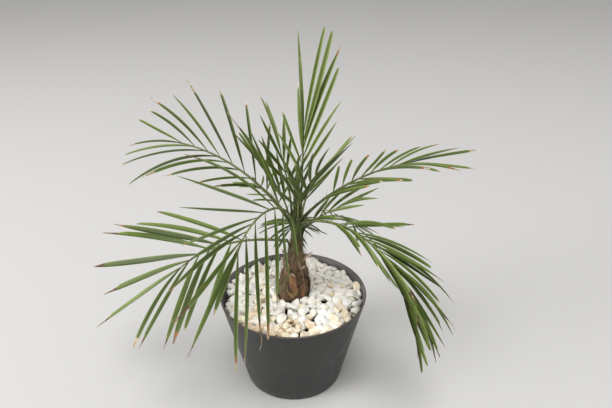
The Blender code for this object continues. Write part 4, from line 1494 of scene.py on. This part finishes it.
def ribMaterial():
    material, tree, shader, place = newMaterial("frondRib", *rib["gloss"])
    blotches = useGroup(tree, "mottle", Vector=place["Object"], Scale=rib["blotches"], First=rib["green"],
                        Second=rib["pale"])
    low, high, strength = rib["footBand"]
    along = addNode(tree, "SeparateXYZ", {0: place["UV"]})["Y"]
    foot = calculate(tree, "SUBTRACT", 1.0, ramp(tree, along, low, high))
    foot = calculate(tree, "MULTIPLY", foot, strength)
    tree.links.new(mixColours(tree, foot, blotches["Colour"], rib["footDark"]), shader["Base Color"])
    addBump(tree, shader, blotches["Height"], *rib["bump"])
    return material


# The frond's rib: channelled on its upper side, swollen where it clasps the trunk
def makeRib(name, frond, line, material):
    shape = bmesh.new()

    def place(point):
        centre, along, normal, left = onRib(line, point.y)
        radius = ribRadius(frond, point.y)
        swell = max(1 - point.y / rib["swellReach"], 0.0) ** 2
        width = radius * (1 + rib["footSwell"] * swell)
        channel = rib["channel"] * radius * max(point.z, 0.0) * (1 - abs(point.x)) ** 2
        return centre + left * point.x * width + normal * (point.z * radius * rib["flatter"] - channel)

    addCopy(shape, unitTube(rib["sides"], rib["stations"]), place)
    addSpines(shape, frond, line)
    nodes = (name + "_inner", name + "_outer") if "bend" in frond else (name,)
    addPiece(name.replace("_", "-") + "-rib", shape, 50, [material], "palm_leaf", *nodes)


# Short stiff spines on the bare stalk, where the lowest leaflets have shrunk
def addSpines(shape, frond, line):
    chance = random.Random(frondRule["seed"])
    low, high = rib["spineLength"]
    onward, aside, outMost = rib["spineAim"]
    for sideName, sign in (("left", 1.0), ("right", -1.0)):
        last = frond[sideName]["start"]
        count = int(last * frond["length"] / rib["spineSpacing"])
        for number in range(1, count):
            share = last * number / count + stray(chance, rib["spineStray"])
            centre, along, normal, left = onRib(line, share)
            aim = along * onward + left * sign * aside + normal * chance.uniform(0.0, outMost)
            aim.normalize()
            length = low + (high - low) * number / count

            def place(point):
                across = aim.cross(left.cross(aim)).normalized()
                other = aim.cross(across)
                narrow = rib["spineThickness"] * tapered(rib["spineTaper"], point.y)
                return centre + aim * length * point.y + across * point.x * narrow + other * point.z * narrow

            addCopy(shape, unitTube(*rib["spineTube"]), place)


# Folded blades on a narrow base, blunt or tapering, with a bow, a twist and a dry end that has shrunk
def makeLeaflets(name, leaflets, materials):
    chance = random.Random(blade["seed"] + len(leaflets) * 31 + len(name))
    looks = looksOf(name)
    underside = len(blade["greens"])
    paleGreen = underside - 2
    shape = bmesh.new()
    for leaflet in leaflets:
        green = chance.choice(looks["greens"])
        # a darker green for the painted shade on the half of the blade that turns from the light
        shade = max(green - chance.choice(blade["paintedShadeSteps"]), 0)
        litSide = -1 if leafletAxes(leaflet, leaflet["aim"], 0.5)[2].dot(frondRule["light"]) > 0 else 1
        outline = blade["strap" if chance.random() < looks["strap"] else "lance"]
        dry = chance.random() < looks["dry"]
        band, end = chance.choice(looks["tips"])
        withered = band == "withered"
        drySpan = chance.uniform(*blade["witheredShare" if withered else "dryShare"]) * looks["dryLength"]
        tipStart = 1.0 - drySpan if dry else 2.0
        endStart = 1.0 - drySpan * chance.uniform(*blade["endShare"])
        shrunk = chance.uniform(*blade["witheredWidth" if withered else "dryWidth"])
        twist = math.radians(stray(chance, blade["twist"]))
        length = leaflet["length"]
        wave = blade["wave"] * length * stray(chance, 1) * looks["bend"]
        bow = chance.uniform(*blade["bow"]) * length * looks["bend"]
        width = looks["width"][0 if leaflet["sign"] > 0 else 1] * chance.uniform(*blade["wider"])
        halfWidth = leafletHalfWidth(length) * width

        def along(y):
            return 1 - (1 - y) ** blade["bunching"]

        def place(point):
            share = along(point.y)
            centre, tangent, across, upper = leafletAxes(leaflet, leaflet["aim"], share)
            turn = Matrix.Rotation(twist * share, 3, tangent)
            across = turn @ across
            upper = turn @ upper
            dried = min(max((share - tipStart) / blade["shrinkReach"] + 0.5, 0.0), 1.0)
            width = halfWidth * readCurve(outline, share) * (1 - (1 - shrunk) * dried)
            fold = math.radians(readCurve(blade["fold"], share))
            thick = readCurve(blade["thickness"], share)
            arch = math.sin(math.pi * share)
            centre = centre + across * wave * arch + upper * bow * arch
            return (centre + across * point.x * width * math.cos(fold)
                    + upper * (abs(point.x) * width * math.sin(fold) + point.z * thick))

        def finish(middle):
            share = along(middle.y)
            if share > tipStart:
                return tipNumbers[end if share > endStart else band]
            if share < blade["baseShare"]:
                return paleGreen
            if middle.z < 0:
                return underside
            # painted shade: the half that turns from the light takes the darker green
            return green if middle.x * litSide > 0 else shade

        addCopy(shape, unitTube(blade["sides"], blade["stations"]), place, finish)
        if dry and chance.random() < looks["frays"]:
            addFrays(shape, leaflet, drySpan, chance)
    addPiece(name.replace("_", "-") + "-leaflets", shape, 24, materials, "palm_leaf")
    print("frond:", name, "leaflets:", len(leaflets))


# Dry threads that curl off a leaflet's torn end
def addFrays(shape, leaflet, drySpan, chance):
    for number in range(chance.choice(frays["count"])):
        start = 1 - drySpan * chance.uniform(*frays["start"])
        centre, tangent, across, upper = leafletAxes(leaflet, leaflet["aim"], start)
        reach = (1 - start) * leaflet["length"] + chance.uniform(*frays["beyond"])
        sideways = across * stray(chance, 1) + upper * stray(chance, 1)
        curl = chance.uniform(*frays["curl"])
        thick = chance.uniform(*frays["thickness"])
        colour = tipNumbers[chance.choice(("straw", "tan", "bleached"))]

        def place(point):
            middle = centre + tangent * reach * point.y * (1 - frays["slack"] * point.y)
            middle += sideways * curl * math.sin(point.y * frays["arch"]) * point.y
            narrow = thick * tapered(frays["taper"], point.y)
            return middle + across * point.x * narrow + upper * point.z * narrow

        addCopy(shape, unitTube(*frays["tube"]), place, colour)


def makeFronds():
    lines, leaflets = placeLeaflets()
    finishes = leafMaterials()
    ribFinish = ribMaterial()
    for name, frond in fronds.items():
        makeRib(name, frond, lines[name], ribFinish)
        makeLeaflets(name, leaflets[name], finishes)


# Floor and light

studio = {
    "floorSize": 12.0,
    "floorLevel": -0.0002,
    "floorColour": (0.56, 0.56, 0.56),
    "floorGloss": (0.9, 0.2),
    "sky": (1.0, 0.985, 0.965),
    "skyStrength": 0.59,
    "aim": (0.0, 0.0, 0.18),
    "lampColour": (1.0, 0.99, 0.97),
    # name, place, size and watts
    "lamps": (
        ("softboxLeft", (-2.90, -1.30, 1.30), 1.8, 82.0),
        ("softboxAbove", (0.10, -1.20, 4.40), 2.2, 116.0),
    ),
}


def makeStudio():
    shape = bmesh.new()
    bmesh.ops.create_grid(shape, x_segments=4, y_segments=4, size=studio["floorSize"] / 2)
    bmesh.ops.translate(shape, verts=shape.verts, vec=(0, 0, studio["floorLevel"]))
    floor = bpy.data.objects.new("studioFloor", closeMesh(shape, "studioFloor"))
    material, tree, shader, place = newMaterial("studioFloor", *studio["floorGloss"])
    shader["Base Color"].default_value = (*studio["floorColour"], 1)
    floor.data.materials.append(material)
    bpy.context.scene.collection.objects.link(floor)
    world = bpy.data.worlds.new("studioSky")
    world.use_nodes = True
    background = world.node_tree.nodes["Background"]
    background.inputs["Color"].default_value = (*studio["sky"], 1)
    background.inputs["Strength"].default_value = studio["skyStrength"]
    bpy.context.scene.world = world
    for name, place, size, watts in studio["lamps"]:
        lamp = bpy.data.lights.new(name, "AREA")
        lamp.shape = "DISK"
        lamp.size = size
        lamp.energy = watts
        lamp.color = studio["lampColour"]
        holder = bpy.data.objects.new(name, lamp)
        holder.location = place
        aim = Vector(studio["aim"]) - Vector(place)
        holder.rotation_euler = aim.to_track_quat("-Z", "Y").to_euler()
        bpy.context.scene.collection.objects.link(holder)


makeCamera()
bpy.context.scene.view_settings.view_transform = "Standard"      # whites and greens as strong as daylight
for make in (makeMottle, makeVeins, makePot, makeSoil, makeChips, makeTrunk, makeLeafBases, makeSheaths,
             makeSpear, makeStubs, makeHairs, makeFronds, makeStudio):
    make()
    print("done:", make.__name__)
